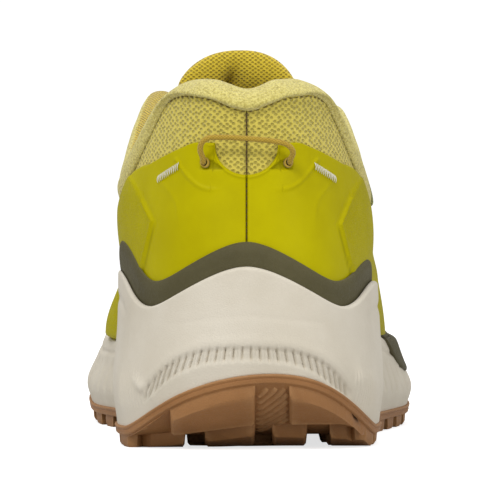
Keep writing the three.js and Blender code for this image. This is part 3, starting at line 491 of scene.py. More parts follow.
def edgeHighlightBuild(tree, into):  # painted highlight: the mesh's own sharp edges picked out, broken up by noise
    sharp = node(tree, "ShaderNodeNewGeometry").outputs["Pointiness"]
    broken = noise(tree, into["Vector"], 420.0, 5.0)
    edge = ramp(tree, sharp, 0.51, 0.60)
    return {"Mask": times(tree, edge, times(tree, broken.outputs[0], into["Amount"]), True)}


def grimeBuild(tree, into):  # slow changes of tone, as handling and moulding leave
    slow = noise(tree, into["Vector"], 28.0, 4.0, Roughness=0.6)
    fine = noise(tree, into["Vector"], 900.0, 3.0)
    speck = ramp(tree, noise(tree, into["Vector"], 2600.0, 2.0).outputs[0], 0.62, 0.7)
    return {"Slow": slow.outputs[0], "Fine": fine.outputs[0], "Speck": speck}


def braidBuild(tree, into):  # two sets of slanting strands round a cord, the higher one on top
    split = node(tree, "ShaderNodeSeparateXYZ", {0: into["Vector"]})
    turn = times(tree, split.outputs[0], times(tree, into["Strands"], 2 * math.pi))
    run = times(tree, split.outputs[1], sums(tree, "DIVIDE", 2000 * math.pi, into["Pitch"]))
    right = sums(tree, "ABSOLUTE", sums(tree, "SINE", plus(tree, turn, run)))
    left = sums(tree, "ABSOLUTE", sums(tree, "SINE", minus(tree, turn, run)))
    high = times(tree, right, left)
    return {"Height": sums(tree, "POWER", high, 0.6), "Groove": ramp(tree, high, 0.0, 0.3, 1.0, 0.0)}


groups = {}
for label, name, inputs, outputs, build in (
    ("knit", "knitHoles", {"Pitch": 1.6, "Irregular": 0.2}, ["Hole", "Height", "Fibre", "Patchy"], knitBuild),
    ("brushed", "brushedNap", {"Size": 0.8}, ["Tone", "Height"], brushedBuild),
    ("pebble", "pebbleGrain", {"Size": 1.0}, ["Crease", "Height"], pebbleBuild),
    ("edgeHighlight", "paintedEdgeHighlight", {"Amount": 1.0}, ["Mask"], edgeHighlightBuild),
    ("grime", "handling", {}, ["Slow", "Fine", "Speck"], grimeBuild),
    ("braid", "braidedStrands", {"Strands": 4.0, "Pitch": 3.0}, ["Height", "Groove"], braidBuild),
):
    groups[label] = shaderGroup(name, inputs, outputs, build)


def useGroup(tree, name, **values):
    return node(tree, "ShaderNodeGroup", values, node_tree=groups[name]).outputs


def ownPlace(tree):
    return node(tree, "ShaderNodeTexCoord").outputs["Object"]


def sheetPlace(tree):
    return node(tree, "ShaderNodeUVMap", uv_map="sheet").outputs[0]


def mark(tree, name):
    return node(tree, "ShaderNodeAttribute", attribute_name=name).outputs["Fac"]


def makeFinish(name, build, fixed):
    material = bpy.data.materials.new(name)
    material.use_nodes = True
    tree = material.node_tree
    tree.nodes.clear()
    shader = tree.nodes.new("ShaderNodeBsdfPrincipled")
    shown = tree.nodes.new("ShaderNodeOutputMaterial")
    tree.links.new(shader.outputs[0], shown.inputs[0])
    for label, value in fixed.items():
        shader.inputs[label].default_value = value
    made = build(tree)
    depth = made.pop("Depth", 0.2)
    if "Height" in made:
        bump = node(
            tree, "ShaderNodeBump", {"Height": made.pop("Height"), "Distance": depth * mm, "Strength": 1.0},
        )
        tree.links.new(bump.outputs[0], shader.inputs["Normal"])
    for label, socket in made.items():
        tree.links.new(socket, shader.inputs[label])
    return material


def knitFinish(name, light, dark, pitch, depth, irregular=0.2, sheen=0.25, inObject=False, patchy=0.25):
    light, dark = paint(*light), paint(*dark)

    def build(tree):
        place = sheetPlace(tree)
        if inObject:  # seen from behind: across and up instead of across and along
            place = node(
                tree, "ShaderNodeMapping", {"Vector": ownPlace(tree), "Rotation": (-math.pi / 2, 0, 0)},
            ).outputs[0]
        knit = useGroup(tree, "knit", Vector=place, Pitch=pitch, Irregular=irregular)
        yarn = tint(tree, ramp(tree, knit["Fibre"], 0.3, 0.75), shade(light, 0.82), light)
        slow = tint(tree, times(tree, ramp(tree, knit["Patchy"], 0.35, 0.7), patchy), yarn, shade(light, 0.7))
        # painted shade: the knit's holes tinted towards the darker colour
        colour = tint(tree, times(tree, knit["Hole"], 0.62), slow, dark)
        return {
            "Base Color": colour, "Roughness": ramp(tree, knit["Hole"], 0, 1, 0.82, 0.95),
            "Height": knit["Height"], "Depth": depth,
        }

    return makeFinish(
        name, build, {"Sheen Weight": sheen, "Sheen Roughness": 0.5, "Specular IOR Level": 0.25},
    )


def filmFinish(name, light, dark, grainAlways=0.0, rough=0.42):
    light, dark = paint(*light), paint(*dark)

    def build(tree):
        place = ownPlace(tree)
        grime = useGroup(tree, "grime", Vector=place)
        grain = useGroup(tree, "pebble", Vector=place, Size=0.85)
        pebbled = sums(tree, "MAXIMUM", mark(tree, "pebbled"), grainAlways)
        crease = times(tree, grain["Crease"], pebbled)
        colour = tint(tree, ramp(tree, grime["Slow"], 0.3, 0.7), light, dark)
        # painted shade: the pebbles' creases darker
        colour = tint(tree, times(tree, crease, 0.16), colour, shade(dark, 0.45))
        # painted shade in the middle groove, the recessed anchor strips and under the panel's edge
        colour = tint(tree, times(tree, mark(tree, "sunk"), 0.8), colour, shade(dark, 0.4))
        height = minus(tree, times(tree, grime["Fine"], 0.12), times(tree, crease, 0.8))
        return {
            "Base Color": colour, "Roughness": ramp(tree, grime["Fine"], 0.2, 0.8, rough - 0.05, rough + 0.1),
            "Height": height, "Depth": 0.12,
        }

    return makeFinish(name, build, {"Specular IOR Level": 0.2, "IOR": 1.22})


def mouldedFinish(name, light, dark, speckAndHighlight, rough, size=1.1, depth=0.06, speck=0.0, specular=0.3):
    light, dark, speckAndHighlight = (paint(*colour) for colour in (light, dark, speckAndHighlight))

    def build(tree):
        place = ownPlace(tree)
        grime = useGroup(tree, "grime", Vector=place)
        grain = useGroup(tree, "pebble", Vector=place, Size=size)
        edgeHighlight = useGroup(tree, "edgeHighlight", Vector=place, Amount=1.1)
        colour = tint(tree, ramp(tree, grime["Slow"], 0.3, 0.72), light, dark)
        # painted shade: the pebbles' creases darker
        colour = tint(tree, times(tree, grain["Crease"], 0.12), colour, dark)
        # the specks and the painted highlight on sharp edges both take the lighter colour
        colour = tint(tree, times(tree, grime["Speck"], speck), colour, speckAndHighlight)
        # painted highlight: sharp edges lighter
        colour = tint(tree, edgeHighlight["Mask"], colour, speckAndHighlight)
        height = plus(tree, times(tree, grime["Fine"], 0.5), grain["Height"])
        return {
            "Base Color": colour,
            "Roughness": ramp(tree, grime["Fine"], 0.25, 0.75, rough - 0.08, rough + 0.08), "Height": height,
            "Depth": depth,
        }

    return makeFinish(name, build, {"Specular IOR Level": specular})


def brushedFinish(name, light, dark, size, depth, sheen=0.5):
    light, dark = paint(*light), paint(*dark)

    def build(tree):
        nap = useGroup(tree, "brushed", Vector=ownPlace(tree), Size=size)
        return {
            "Base Color": tint(tree, ramp(tree, nap["Tone"], 0.36, 0.78), light, dark),
            "Roughness": ramp(tree, nap["Tone"], 0.2, 0.8, 0.85, 1.0), "Height": nap["Height"],
            "Depth": depth,
        }

    return makeFinish(name, build, {"Sheen Weight": sheen, "Sheen Roughness": 0.6, "Specular IOR Level": 0.2})


def collarFinish(name, light, dark, size, depth):  # brushed nap on the roll, a golden knit on the inside
    light, dark = paint(*light), paint(*dark)

    def build(tree):
        nap = useGroup(tree, "brushed", Vector=ownPlace(tree), Size=size)
        knit = useGroup(tree, "knit", Vector=sheetPlace(tree), Pitch=1.1, Irregular=0.15)
        inside = mark(tree, "inside")
        # painted shade: the golden knit's holes darker
        gold = tint(tree, times(tree, knit["Hole"], 0.8), paint(214, 186, 50), paint(132, 106, 16))
        colour = tint(tree, inside, tint(tree, ramp(tree, nap["Tone"], 0.36, 0.78), light, dark), gold)
        height = tint(tree, inside, nap["Height"], knit["Height"])
        return {
            "Base Color": colour, "Roughness": ramp(tree, nap["Tone"], 0.2, 0.8, 0.85, 1.0), "Height": height,
            "Depth": depth,
        }

    return makeFinish(name, build, {"Sheen Weight": 0.4, "Sheen Roughness": 0.6, "Specular IOR Level": 0.2})


def cordFinish(name, light, dark, strands, pitch, depth=0.14, rough=0.75):
    light, dark = paint(*light), paint(*dark)

    def build(tree):
        braid = useGroup(tree, "braid", Vector=sheetPlace(tree), Strands=strands, Pitch=pitch)
        fuzz = useGroup(tree, "brushed", Vector=ownPlace(tree), Size=0.5)
        # painted shade: darker in the grooves between the strands
        colour = tint(
            tree, braid["Groove"], tint(tree, ramp(tree, fuzz["Tone"], 0.3, 0.8), light, shade(light, 0.8)),
            dark,
        )
        high = plus(tree, braid["Height"], times(tree, fuzz["Height"], 0.2))
        return {
            "Base Color": colour, "Roughness": ramp(tree, braid["Groove"], 0, 1, rough, 0.95), "Height": high,
            "Depth": depth,
        }

    return makeFinish(name, build, {"Sheen Weight": 0.2, "Sheen Roughness": 0.5, "Specular IOR Level": 0.3})


finish = {
    "film": filmFinish("chartreuseFilm", (184, 174, 0), (172, 161, 0), rough=0.46),
    "capFilm": filmFinish("grainedFilm", (182, 172, 0), (170, 160, 0), 1.0, rough=0.5),
    "heelKnit": knitFinish("khakiKnit", (226, 208, 92), (150, 134, 44), 1.8, 0.45, 0.42, patchy=0.3),
    "goldKnit": knitFinish("goldenKnit", (214, 188, 50), (132, 108, 16), 1.0, 0.4, 0.12, 0.3, patchy=0.12),
    "tongueKnit": knitFinish("tongueKnit", (226, 198, 52), (130, 104, 10), 1.35, 0.5, 0.15, 0.15, True, 0.12),
    "nap": collarFinish("brushedCollar", (252, 238, 136), (192, 172, 60), 0.62, 0.55),
    "olive": mouldedFinish("oliveMoulding", (87, 81, 51), (76, 70, 42), (112, 106, 74), 0.66, 0.55, 0.05),
    "cream": mouldedFinish("creamFoam", (214, 206, 190), (204, 195, 177), (228, 222, 210), 0.62, 0.9, 0.035),
    "gum": mouldedFinish("gumRubber", (160, 112, 66), (142, 97, 54), (186, 142, 96), 0.55, 0.8, 0.05, 0.1),
    "white": cordFinish("whiteThread", (244, 242, 232), (196, 190, 166), 2, 0.5, 0.05),
    "brown": cordFinish("brownThread", (96, 72, 26), (48, 34, 12), 2, 0.5, 0.05),
    "umber": cordFinish("umberThread", (140, 120, 46), (84, 68, 20), 2, 0.5, 0.05),
    "tan": cordFinish("khakiThread", (196, 182, 84), (128, 112, 40), 2, 0.5, 0.05),
    "cord": cordFinish("goldenCord", (186, 154, 50), (140, 110, 30), 3, 2.2, 0.1),
    "lace": cordFinish("oliveLace", (150, 150, 70), (72, 72, 34), 4, 3.2),
    "webbing": knitFinish("limeWebbing", (176, 184, 30), (96, 100, 14), 0.6, 0.2, 0.05),
    "tip": mouldedFinish("shrunkTip", (84, 82, 58), (66, 64, 44), (120, 116, 86), 0.3, 0.7, 0.02, 0.0, 0.5),
    "board": brushedFinish("fibreBoard", (220, 216, 204), (190, 184, 170), 1.4, 0.1, 0.1),
    "stiff": mouldedFinish("stiffSheet", (60, 60, 56), (48, 48, 45), (90, 90, 84), 0.5, 1.5, 0.03),
    "insoleCloth": knitFinish("insoleCloth", (196, 190, 96), (140, 132, 56), 0.8, 0.15, 0.3),
}
print("finishes ready")

# ---- sole
midsoleForm = {
    "columns": 600, "heelColumns": 520, "rows": 50, "rimIn": 3.0, "rimWall": 2.0, "flare": 1.4,
    "pleatPitch": 3.0, "pleatDepth": 1.0,
}
# height by distance along the edge
pleatTop = curveThrough([[0, 34.2], [12, 33.6], [22, 31.0], [31, 26.2], [36, 22.5], [42, 19]])
pleatLow = curveThrough([[0, 29.2], [12, 28.4], [22, 25.4], [31, 20.6], [36, 17.5], [42, 15]])


def midsoleSection(u):  # corner points of the outer wall by station: edge, bulge, waist, rim
    side = np.abs(u)
    edge, bulge = outline(u, soleOut(side)), outline(u, soleOut(side) + midsoleForm["flare"])
    edge[..., 2] = treadBase(edge[..., 0], edge[..., 1]) + last["rubber"] + gap
    vRim = vAt(u, rim(u))
    topIn = wall(u, vRim, midsoleForm["rimIn"])
    slim = 1.1 * bell(u, -3.4, 1.1)  # the inner wing's edge is thinner
    topOut = wall(u, vRim, midsoleForm["rimIn"] + midsoleForm["rimWall"] - slim)
    topOut[..., 2] = topIn[..., 2] - 0.6
    waist = mix(bulge, topOut, 0.55 + 0.2 * bell(u, -3.4, 1.1)[..., None])
    bulge[..., 2] = mix(edge[..., 2], topOut[..., 2], 0.3)
    waist[..., 2] = mix(edge[..., 2], topOut[..., 2], 0.68)
    return edge, bulge, waist, topOut, topIn, vRim


def makeMidsole():
    front = np.linspace(3.4, toe, midsoleForm["columns"] // 2)
    u = np.concatenate([-front[::-1], np.linspace(-3.4, 3.4, midsoleForm["heelColumns"] + 1)[1:-1], front])
    edge, bulge, waist, topOut, topIn, vRim = midsoleSection(u)
    share = np.linspace(0, 1, midsoleForm["rows"] + 1)
    outer = alongKnots(np.array([edge, bulge, waist, topOut]), share)  # rows, columns, xyz
    out = outline(u, 1.0) - outline(u, 0.0)
    run = np.concatenate([[0], np.cumsum(np.linalg.norm(np.diff(edge, axis=0), axis=1))])
    along = (run - np.interp(0, u, run))[None, :]  # millimetres round the edge from the heel's middle
    z = outer[..., 2]
    heel = 1 - smoothStep(np.abs(along), 40, 44)
    reach = np.abs(along)
    top, low = pleatTop(reach), pleatLow(reach)
    band = smoothStep(z, low - 0.6, low + 1.2) * (1 - smoothStep(z, top - 0.9, top))
    band = band * (1 - smoothStep(reach, 38, 42))
    phase = along / (1 - 0.02 * (z - low)) / midsoleForm["pleatPitch"]
    saw = (phase * np.sign(along + 1e-6)) % 1
    slit = bell(saw, 0.5, 0.11) + 0.35 * (1 - saw)
    pleat = band * (0.45 + midsoleForm["pleatDepth"] * slit)
    ledge = 0.3 * bell(z, top + 1.5, 1.6) * heel
    # rounded swellings beside the lugs
    facet = 0.9 * bell(along, -41.5, 5.5) * bell(z, 20.5 - 0.42 * (along + 41.5), 2.0)
    facet += 0.9 * bell(along, 46, 4.0) * bell(z, 23, 4.5)
    fine = 0.16 * np.sin(2 * np.pi * along / 1.9)
    fine = fine * (smoothStep(reach, 40, 43) * (1 - smoothStep(reach, 58, 63)))
    fine = fine * smoothStep(z, 12, 15) * (1 - smoothStep(z, 24, 27))
    height = (z - edge[None, :, 2]) / (topOut[None, :, 2] - edge[None, :, 2])
    # raked flutes along the quarters and forefoot
    ribs = smoothStep(reach, 95, 110) * (1 - smoothStep(reach, 250, 275))
    flutes = -0.7 * ribs * np.clip(np.sin(2 * np.pi * (along + 0.5 * np.sign(along) * z) / 11), 0, 1) ** 3
    flutes *= smoothStep(height, 0.18, 0.34) * (1 - smoothStep(height, 0.6, 0.78))
    line = -0.55 * bell(height, 0.84, 0.035) * smoothStep(reach, 60, 80)
    crease = -0.125 * bell(z, 44 - 0.1 * reach, 0.8) * (1 - smoothStep(reach, 20, 34))
    move = -pleat + ledge + facet + fine + flutes + line + crease
    move *= smoothStep(share, 0, 0.05)[:, None] * (1 - smoothStep(share, 0.95, 1.0))[:, None]
    outer = outer + out[None] * move[..., None]
    arc = np.linspace(0, np.pi, 7)[1:-1]
    lip = [mix(topOut, topIn, (1 - math.cos(a)) / 2) + np.array([0, 0, 0.7 * math.sin(a)]) for a in arc]
    inside = [topIn] + [wall(u, vRim * k, midsoleForm["rimIn"]) for k in (0.75, 0.4)]
    foot = outline(u, midsoleForm["rimIn"])
    foot[..., 2] = bed(foot[..., 1])
    middle = spine(u)
    top = middle.copy()
    top[..., 2] = bed(top[..., 1])
    under = [mix(middle, edge, k) for k in (0, 0.35, 0.7)]
    for row in under:
        row[..., 2] = treadBase(row[..., 0], row[..., 1]) + last["rubber"] + gap
    rows = np.array(under + list(outer) + lip + inside + [foot, mix(foot, top, 0.5), top])
    rows[-2][..., 2] = bed(rows[-2][..., 1])
    buildPiece("midsoleFoam", [patch(rows)], finish["cream"], stands=["midsole"], crease=50)


makeMidsole()

outsoleForm = {"columns": 480, "rows": 60, "draft": 0.5, "bevel": 1.3, "inset": 0.5, "root": 1.5}
lugRows = [  # back edge y, depth, sweep, and the [from, to] of each lug in x
    (-48, 21, 0.1, [[-25, 3], [13.5, 39]]),
    (-22, 13, 0.2, [[-47, -20], [-14, 3], [8, 20], [27, 47]]),
    (-5, 14, 0.25, [[-47, -26], [-20, 20], [26, 47]]),
    (15, 13, 0.25, [[-47, -24], [-17, -4], [4, 17], [24, 47]]),
    (35, 13, 0.25, [[-47, -24], [-14, 14], [24, 47]]),
    (55, 11, 0.25, [[-47, -24], [24, 50]]),
    (88, 12, -0.15, [[-50, -27], [30, 55]]),
    (106, 12, -0.15, [[-58, -33], [-26, -8], [8, 28], [35, 60]]),
    (125, 12, -0.15, [[-60, -38], [-30, -5], [5, 32], [40, 62]]),
    (144, 12, -0.15, [[-62, -42], [-34, -5], [5, 34], [42, 62]]),
    (163, 12, -0.15, [[-62, -42], [-34, -5], [5, 34], [42, 62]]),
    (182, 12, -0.15, [[-62, -42], [-34, -6], [4, 32], [40, 62]]),
    (201, 11, -0.2, [[-62, -38], [-30, -7], [3, 26], [34, 62]]),
    (219, 11, -0.25, [[-58, -30], [-22, 14], [22, 50]]),
    (237, 20, -0.3, [[-40, -14], [-7, 25]]),
]
ringU = np.linspace(-toe, toe, 1441)
ring = outline(ringU, soleOut(np.abs(ringU)) - outsoleForm["inset"])
back = np.argmin(ring[:, 1])
arcs = {}
for label, pick in {"outer": ring[:, 0] > ring[back, 0], "inner": ring[:, 0] <= ring[back, 0]}.items():
    arcs[label] = ring[pick][np.argsort(ring[pick][:, 1])]
heelArc = ring[ring[:, 1] < 10][np.argsort(ring[ring[:, 1] < 10][:, 0])]
toeArc = ring[ring[:, 1] > 200][np.argsort(ring[ring[:, 1] > 200][:, 0])]


def insideOutline(x, y):  # x and y pulled back onto the outline where they pass it
    y = np.maximum(y, np.where(np.abs(x) < 40, np.interp(x, heelArc[:, 0], heelArc[:, 1]), -99))
    y = np.minimum(y, np.where(np.abs(x + 5) < 38, np.interp(x, toeArc[:, 0], toeArc[:, 1]), 999))
    low, high = (np.interp(y, arcs[label][:, 1], arcs[label][:, 0]) for label in ("inner", "outer"))
    return np.clip(x, low, high), y


# a block on the tread: drafted sides, a bevel and a flat top
def lugGrids(xFrom, xTo, y0, depth, sweep, high):
    def lines(length):
        e = np.array([0, outsoleForm["draft"], outsoleForm["bevel"]]) / length
        return np.concatenate([e, np.linspace(e[2], 1 - e[2], 9)[1:-1], 1 - e[::-1]])

    a, b = lines(xTo - xFrom), lines(depth)
    profile = np.array([-1.2, high - 0.9, high] + [high] * 7 + [high, high - 0.9, -1.2])
    up = np.minimum(profile[:, None], profile[None, :])
    x = mix(xFrom, xTo, a)[:, None] + 0 * b[None, :]
    yBack, yFront = y0 + sweep * np.abs(x), y0 + depth + sweep * np.abs(x)
    lowest = insideOutline(x, yBack)[1]
    highest = insideOutline(x, yFront)[1]
    y = mix(np.maximum(yBack, lowest), np.minimum(yFront, highest), b[None, :])
    y = insideOutline(x, y)[1]
    left, right = (insideOutline(np.full_like(x, end), y)[0] for end in (xFrom, xTo))
    x = mix(left, right, a[:, None])
    z = treadBase(x, y)
    outer = np.stack([x, y, z - up], -1)
    inner = np.stack([x, y, z + outsoleForm["root"] + 0 * up], -1)
    return shell(outer, inner)


def ribGrids(x0, y0, x1, y1, width, high):  # a low raised bar between two plan points
    t, s = np.linspace(0, 1, 9)[:, None], np.array([-0.5, -0.25, 0.25, 0.5])[None, :]
    step = unit(np.array([x1 - x0, y1 - y0, 0.0]))
    x = mix(x0, x1, t) - step[1] * s * width
    y = mix(y0, y1, t) + step[0] * s * width
    x, y = insideOutline(x, y)
    z = treadBase(x, y)
    up = np.array([-0.4, high, high, -0.4])[None, :] * np.where((t == 0) | (t == 1), 0.2, 1.0)
    return shell(np.stack([x, y, z - up], -1), np.stack([x, y, z + 0.8 + 0 * up], -1))


def makeOutsole():
    u = np.linspace(-toe, toe, outsoleForm["columns"] + 1)
    edge, middle = outline(u, soleOut(np.abs(u))), spine(u)
    share = np.linspace(0, 1, outsoleForm["rows"] + 1)
    under = mix(middle[None], edge[None], share[:, None, None])
    under[..., 2] = treadBase(under[..., 0], under[..., 1])
    out = outline(u, 1.0) - outline(u, 0.0)
    lipRows = []
    for rise, proud in (
        (0.3, 0.35), (1.0, 0.55), (1.7, 0.45), (2.1, 0.75), (2.6, 0.85), (3.0, 0.6), (3.1, 0.1),
    ):
        row = edge + out * proud
        row[..., 2] = treadBase(edge[..., 0], edge[..., 1]) + rise
        lipRows.append(row)
    top = [mix(edge, middle, k) for k in (0.03, 0.5, 1.0)]
    for row in top:
        row[..., 2] = treadBase(row[..., 0], row[..., 1]) + last["rubber"]
    patches = [patch(np.array(list(under) + lipRows + top))]
    for y, depth, sweep, across in lugRows:
        for xFrom, xTo in across:
            patches += lugGrids(xFrom, xTo, y, depth, sweep, last["lugDepth"])
    for k in range(9):  # slanting ribs in the heel's channel, cut short inside the lip
        t = np.linspace(0, 1, 80)
        x, y = mix(3.6, 13.2, t), mix(-39.5, -48.5, t) + 3.2 * k
        t = t[y > np.interp(x, heelArc[:, 0], heelArc[:, 1]) + 1.4]
        if len(t) > 12:
            (x0, y0), (x1, y1) = (
                (mix(3.6, 13.2, end), mix(-39.5, -48.5, end) + 3.2 * k) for end in (t[0], t[-1])
            )
            patches += ribGrids(x0, y0, x1, y1, 2.3, 0.7)
    for k in range(4):  # short ribs on the heel's inner corner
        patches += ribGrids(-34 - 2.0 * k, -36 + 3.4 * k, -27.5 - 1.6 * k, -33 + 3.4 * k, 1.7, 0.6)
    for k in range(9):  # chevrons between the forefoot lugs, and on the waist
        y = 92 + 16 * k if k > 3 else 70 + 4 * k
        patches += ribGrids(-20, y + 2, -1.5, y + 6, 1.8, 0.7) + ribGrids(1.5, y + 6, 20, y + 2, 1.8, 0.7)
    buildPiece("outsoleTread", patches, finish["gum"], stands=["outsole"], crease=32)


makeOutsole()
print("sole ready")

# ---- moulded bands round the heel and the outer forefoot
heelBandTop = curveThrough(
    [[-3.5, 26.8], [-3.05, 37.6], [-1.6, 24.7], [0, 37.5], [1.6, 24.7], [2.9, 31.4], [3.5, 22.5]]
)
bandForm = {"inner": 1.6, "outer": 2.7, "round": 1.3}


# a quarter-round fall-off near the edges, 0 at the edge, 1 past the radius
def edgeEase(a, b, lengthA, lengthB, radius, butted):
    fromStart = np.where(butted[0], 1.0, a)  # a butted end keeps its full thickness
    toEnd = np.where(butted[1], 1.0, 1 - a)
    reach = np.minimum(
        np.minimum(fromStart, toEnd)[:, None] * lengthA, np.minimum(b, 1 - b)[None, :] * lengthB,
    )
    t = np.clip(reach / radius, 0, 1)
    return np.sqrt(np.maximum(0, 1 - (1 - t) ** 2))


def layerPiece(
    name, us, low, high, depth, b, lengths, finishName, stands, swell=None, marks=None, edge=0.8,
    crease=42, butted=(False, False),
):
    a = (us - us[0]) / (us[-1] - us[0])
    bottom, top = low(us), high(us)
    v = mix(bottom[:, None], top[:, None], b[None, :])
    u = us[:, None] + 0 * v
    ease = edgeEase(a, b, lengths[0], lengths[1], edge, butted)
    surface = wall(u, v, depth[1])
    thick = mix(depth[0], depth[1], ease)
    found = marks(u, v, surface) if marks else {}
    if swell is not None:
        thick = thick + swell(u, v, surface) * ease
    return buildPiece(
        name, shell(wall(u, v, thick), wall(u, v, depth[0] + 0 * v), found), finish[finishName],
        stands=stands, crease=crease,
    )


layerPiece(
    "heelBandMoulding", np.linspace(-3.5, 3.5, 361), lambda u: vAt(u, rim(u) - 5),
    lambda u: vAt(u, np.maximum(heelBandTop(u), rim(u) + 0.6)), (bandForm["inner"], bandForm["outer"]),
    crowded(30), (230, 13), "olive", ["heel_band"], edge=bandForm["round"],
    swell=lambda u, v, p: 0.25 * bell(v, (vAt(u, heelBandTop(u) - 3)), 0.02),
)
layerPiece(
    "forefootBandMoulding", np.linspace(6, 9.6, 121), lambda u: vAt(u, rim(u) - 4),
    lambda u: vAt(u, rim(u) + 2.5 * np.sin(np.clip((u - 6) / 3.6, 0, 1) * np.pi) ** 0.7 + 0.6),
    (bandForm["inner"], bandForm["outer"]), crowded(20), (110, 10), "olive", ["forefoot_band"],
    edge=bandForm["round"],
)

accentForm = {"from": 5.9, "to": 9.2, "out": 0.15, "thick": 0.9}


def makeAccent():  # the band's outer part, laid over the midsole's wall and tapering to both ends
    u = np.linspace(accentForm["from"], accentForm["to"], 181)
    edge, bulge, waist, topOut, topIn = midsoleSection(u)[:5]
    a = (u - u[0]) / (u[-1] - u[0])
    low = mix(0.95, 0.33, np.sin(np.pi * a) ** 0.8 * (1 - 0.25 * a))
    b = crowded(36)
    # the last knot lies over the rim
    knots = np.array([edge, bulge, waist, topOut, mix(topOut, topIn, 0.6) + np.array([0, 0, 1.3])])
    # the wall sampled up its height, then read at each share
    table = alongKnots(knots, np.linspace(0, 1, 101))
    share = mix(low[:, None], 0.985, b[None, :]) * 100
    k = np.clip(np.floor(share).astype(int), 0, 99)
    f = (share - k)[..., None]
    column = np.arange(len(u))[:, None]
    wallPoints = mix(table[k, column], table[k + 1, column], f)
    out = (outline(u, 1.0) - outline(u, 0.0))[:, None]
    ease = edgeEase(a, b, 110, 14, 1.2, (False, False))[..., None]
    outer = wallPoints + out * (accentForm["out"] + accentForm["thick"] * ease)
    buildPiece("forefootAccent", shell(outer, wallPoints - out * 0.6), finish["olive"])


makeAccent()

# ---- knitted upper
seamHalf = 0.006


def vampBack(v):  # the station of the seam, sweeping forwards as a power of the height
    return 5.9 + 1.75 * v**1.3


def vampStart(v):
    return vampBack(v) + seamHalf + 0.02 * v**4


def makeQuarter(name, side):
    a, v = np.linspace(0, 1, 241)[:, None], np.linspace(0, 1, 81)[None, :]
    u = side * mix(0.012, vampBack(v) - seamHalf, a)
    v = v + 0 * a
    sink = -0.35 * bell(a * 95, 0, 0.5) - 0.3 * bell((vampBack(v) - seamHalf - np.abs(u)) * 30, 0, 0.6)
    return buildPiece(
        f"quarterKnit_{name}", shell(wall(u, v, sink), wall(u, v, -wallOf["mesh"] + 0 * v)),
        finish["heelKnit"], stands=[f"quarter_{name}"],
    )


# one body across both sides, from the seam to the toe
def closedToe(start, outer, inner, low=0.0, columns=140, rows=120, wave=None):
    b = np.linspace(0, 1, rows + 1)[None, :]
    v = mix(1.0, low, np.abs(2 * b - 1))
    u = mix(start(v), toe, np.linspace(0, 1, columns + 1)[:, None])
    v = v + 0 * u
    side = np.where(b < 0.5, 1, -1)

    def at(depth):
        near, far = wall(u * side, v, depth + 0 * u), wall(-u * side, v, depth + 0 * u)
        ridge = smoothStep(v, 0.9, 1.0)[..., None] * 0.5
        return mix(near, far, ridge)

    extra = 0 if wave is None else wave(u, v)
    return shell(at(outer + extra), at(inner))


for name, side in bothSides.items():
    makeQuarter(name, side)


def vampDip(u, v):  # the knit sinks a little where it meets the quarters
    return -0.3 * bell((u - vampStart(v)) * 25, 0, 0.6)


knit = closedToe(vampStart, 0.0, -wallOf["mesh"], wave=vampDip)
buildPiece("vampKnit", knit, finish["heelKnit"], stands=["vamp"])
lining = closedToe(vampStart, wallOf["liningOut"], wallOf["liningIn"], 0.02, 60, 60)
buildPiece("vampLining", lining, finish["goldKnit"], stands=["vamp_lining"])
for name, side in bothSides.items():
    a, v = np.linspace(0, 1, 41)[:, None], mix(0.02, 0.97, np.linspace(0, 1, 41))[None, :]
    u = side * mix(5.11, vampBack(v) - seamHalf, a)
    v = v + 0 * a
    lining = shell(wall(u, v, wallOf["liningOut"] + 0 * v), wall(u, v, wallOf["liningIn"] + 0 * v))
    buildPiece(
        f"quarterLining_{name}", lining, finish["goldKnit"], stands=[f"quarter_lining_{name}"],
    )

# ---- welded films: heel, side panels, toe cap and throat edges
filmForm = {"inner": 0.4, "outer": 1.2, "panelBack": 2.35, "panelRise": 0.65}
collarForm = {"end": 5.05, "low": 7, "foamLow": 18, "face": -3.3, "sections": 221, "around": 84}
filmEdge = curveThrough([[0, 69.6], [1.1, 69.9], [1.4, 68.4], [2.3, 62.7], [3.1, 58]])
panelLine = curveThrough([[2.3, 62.7], [2.8, 60.8], [4, 47], [5, 62], [6, 54], [7, 40], [8.4, 20]])
rollDown = curveThrough([[0, 1.3], [1, 0.4], [2, 0.6], [2.5, 4], [3.2, 9], [4.2, 8], [5, 4]])
toeCapTop = curveThrough([[8.5, 14], [9.5, 19], [11, 18], [12, 17]])
panelEdge = {  # height and distance out of the panel's pointed back edge, on the outer and the inner side
    "lateral": [[50, 37], [59.4, 33.6], [73.2, 30.1], [83, 34.3], [90, 38.5]],
    "medial": [[50, 37.5], [58.9, 33.8], [74.2, 30.4], [84.4, 35.7], [91, 39.5]],
}


def filmTop(u):  # the heel film's upper edge with its round window
    reach = np.abs(u)
    return filmEdge(reach) - 10.2 * np.sqrt(np.maximum(0, 1 - (reach / 0.68) ** 2))


def topHeight(u):
    p = onRail(3, u)
    return p[..., 2] - bed(p[..., 1])


def lineDistance(x, z, knots):  # distance in the back view from a line through knots, sampled finely
    path = alongKnots(np.array(knots, float), np.linspace(0, 1, 60))
    away = (x[..., None] - path[:, 0]) ** 2 + (z[..., None] - path[:, 1]) ** 2
    k = away.argmin(-1)
    return np.sqrt(away.min(-1)), k / 59


# embossed lines on each half: knots by distance from the middle and height, then height, width and fade
foldLines = [
    ([(23.0, 94.2), (19.6, 89.5), (15.7, 85.9), (11.5, 84.6), (7.5, 85.2)], 0.42, 0.65, 1.0),
    ([(28.2, 87.4), (25.0, 83.6), (22.9, 80.2), (22.3, 75.5), (22.4, 71)], 0.16, 0.8, 1.0),
]


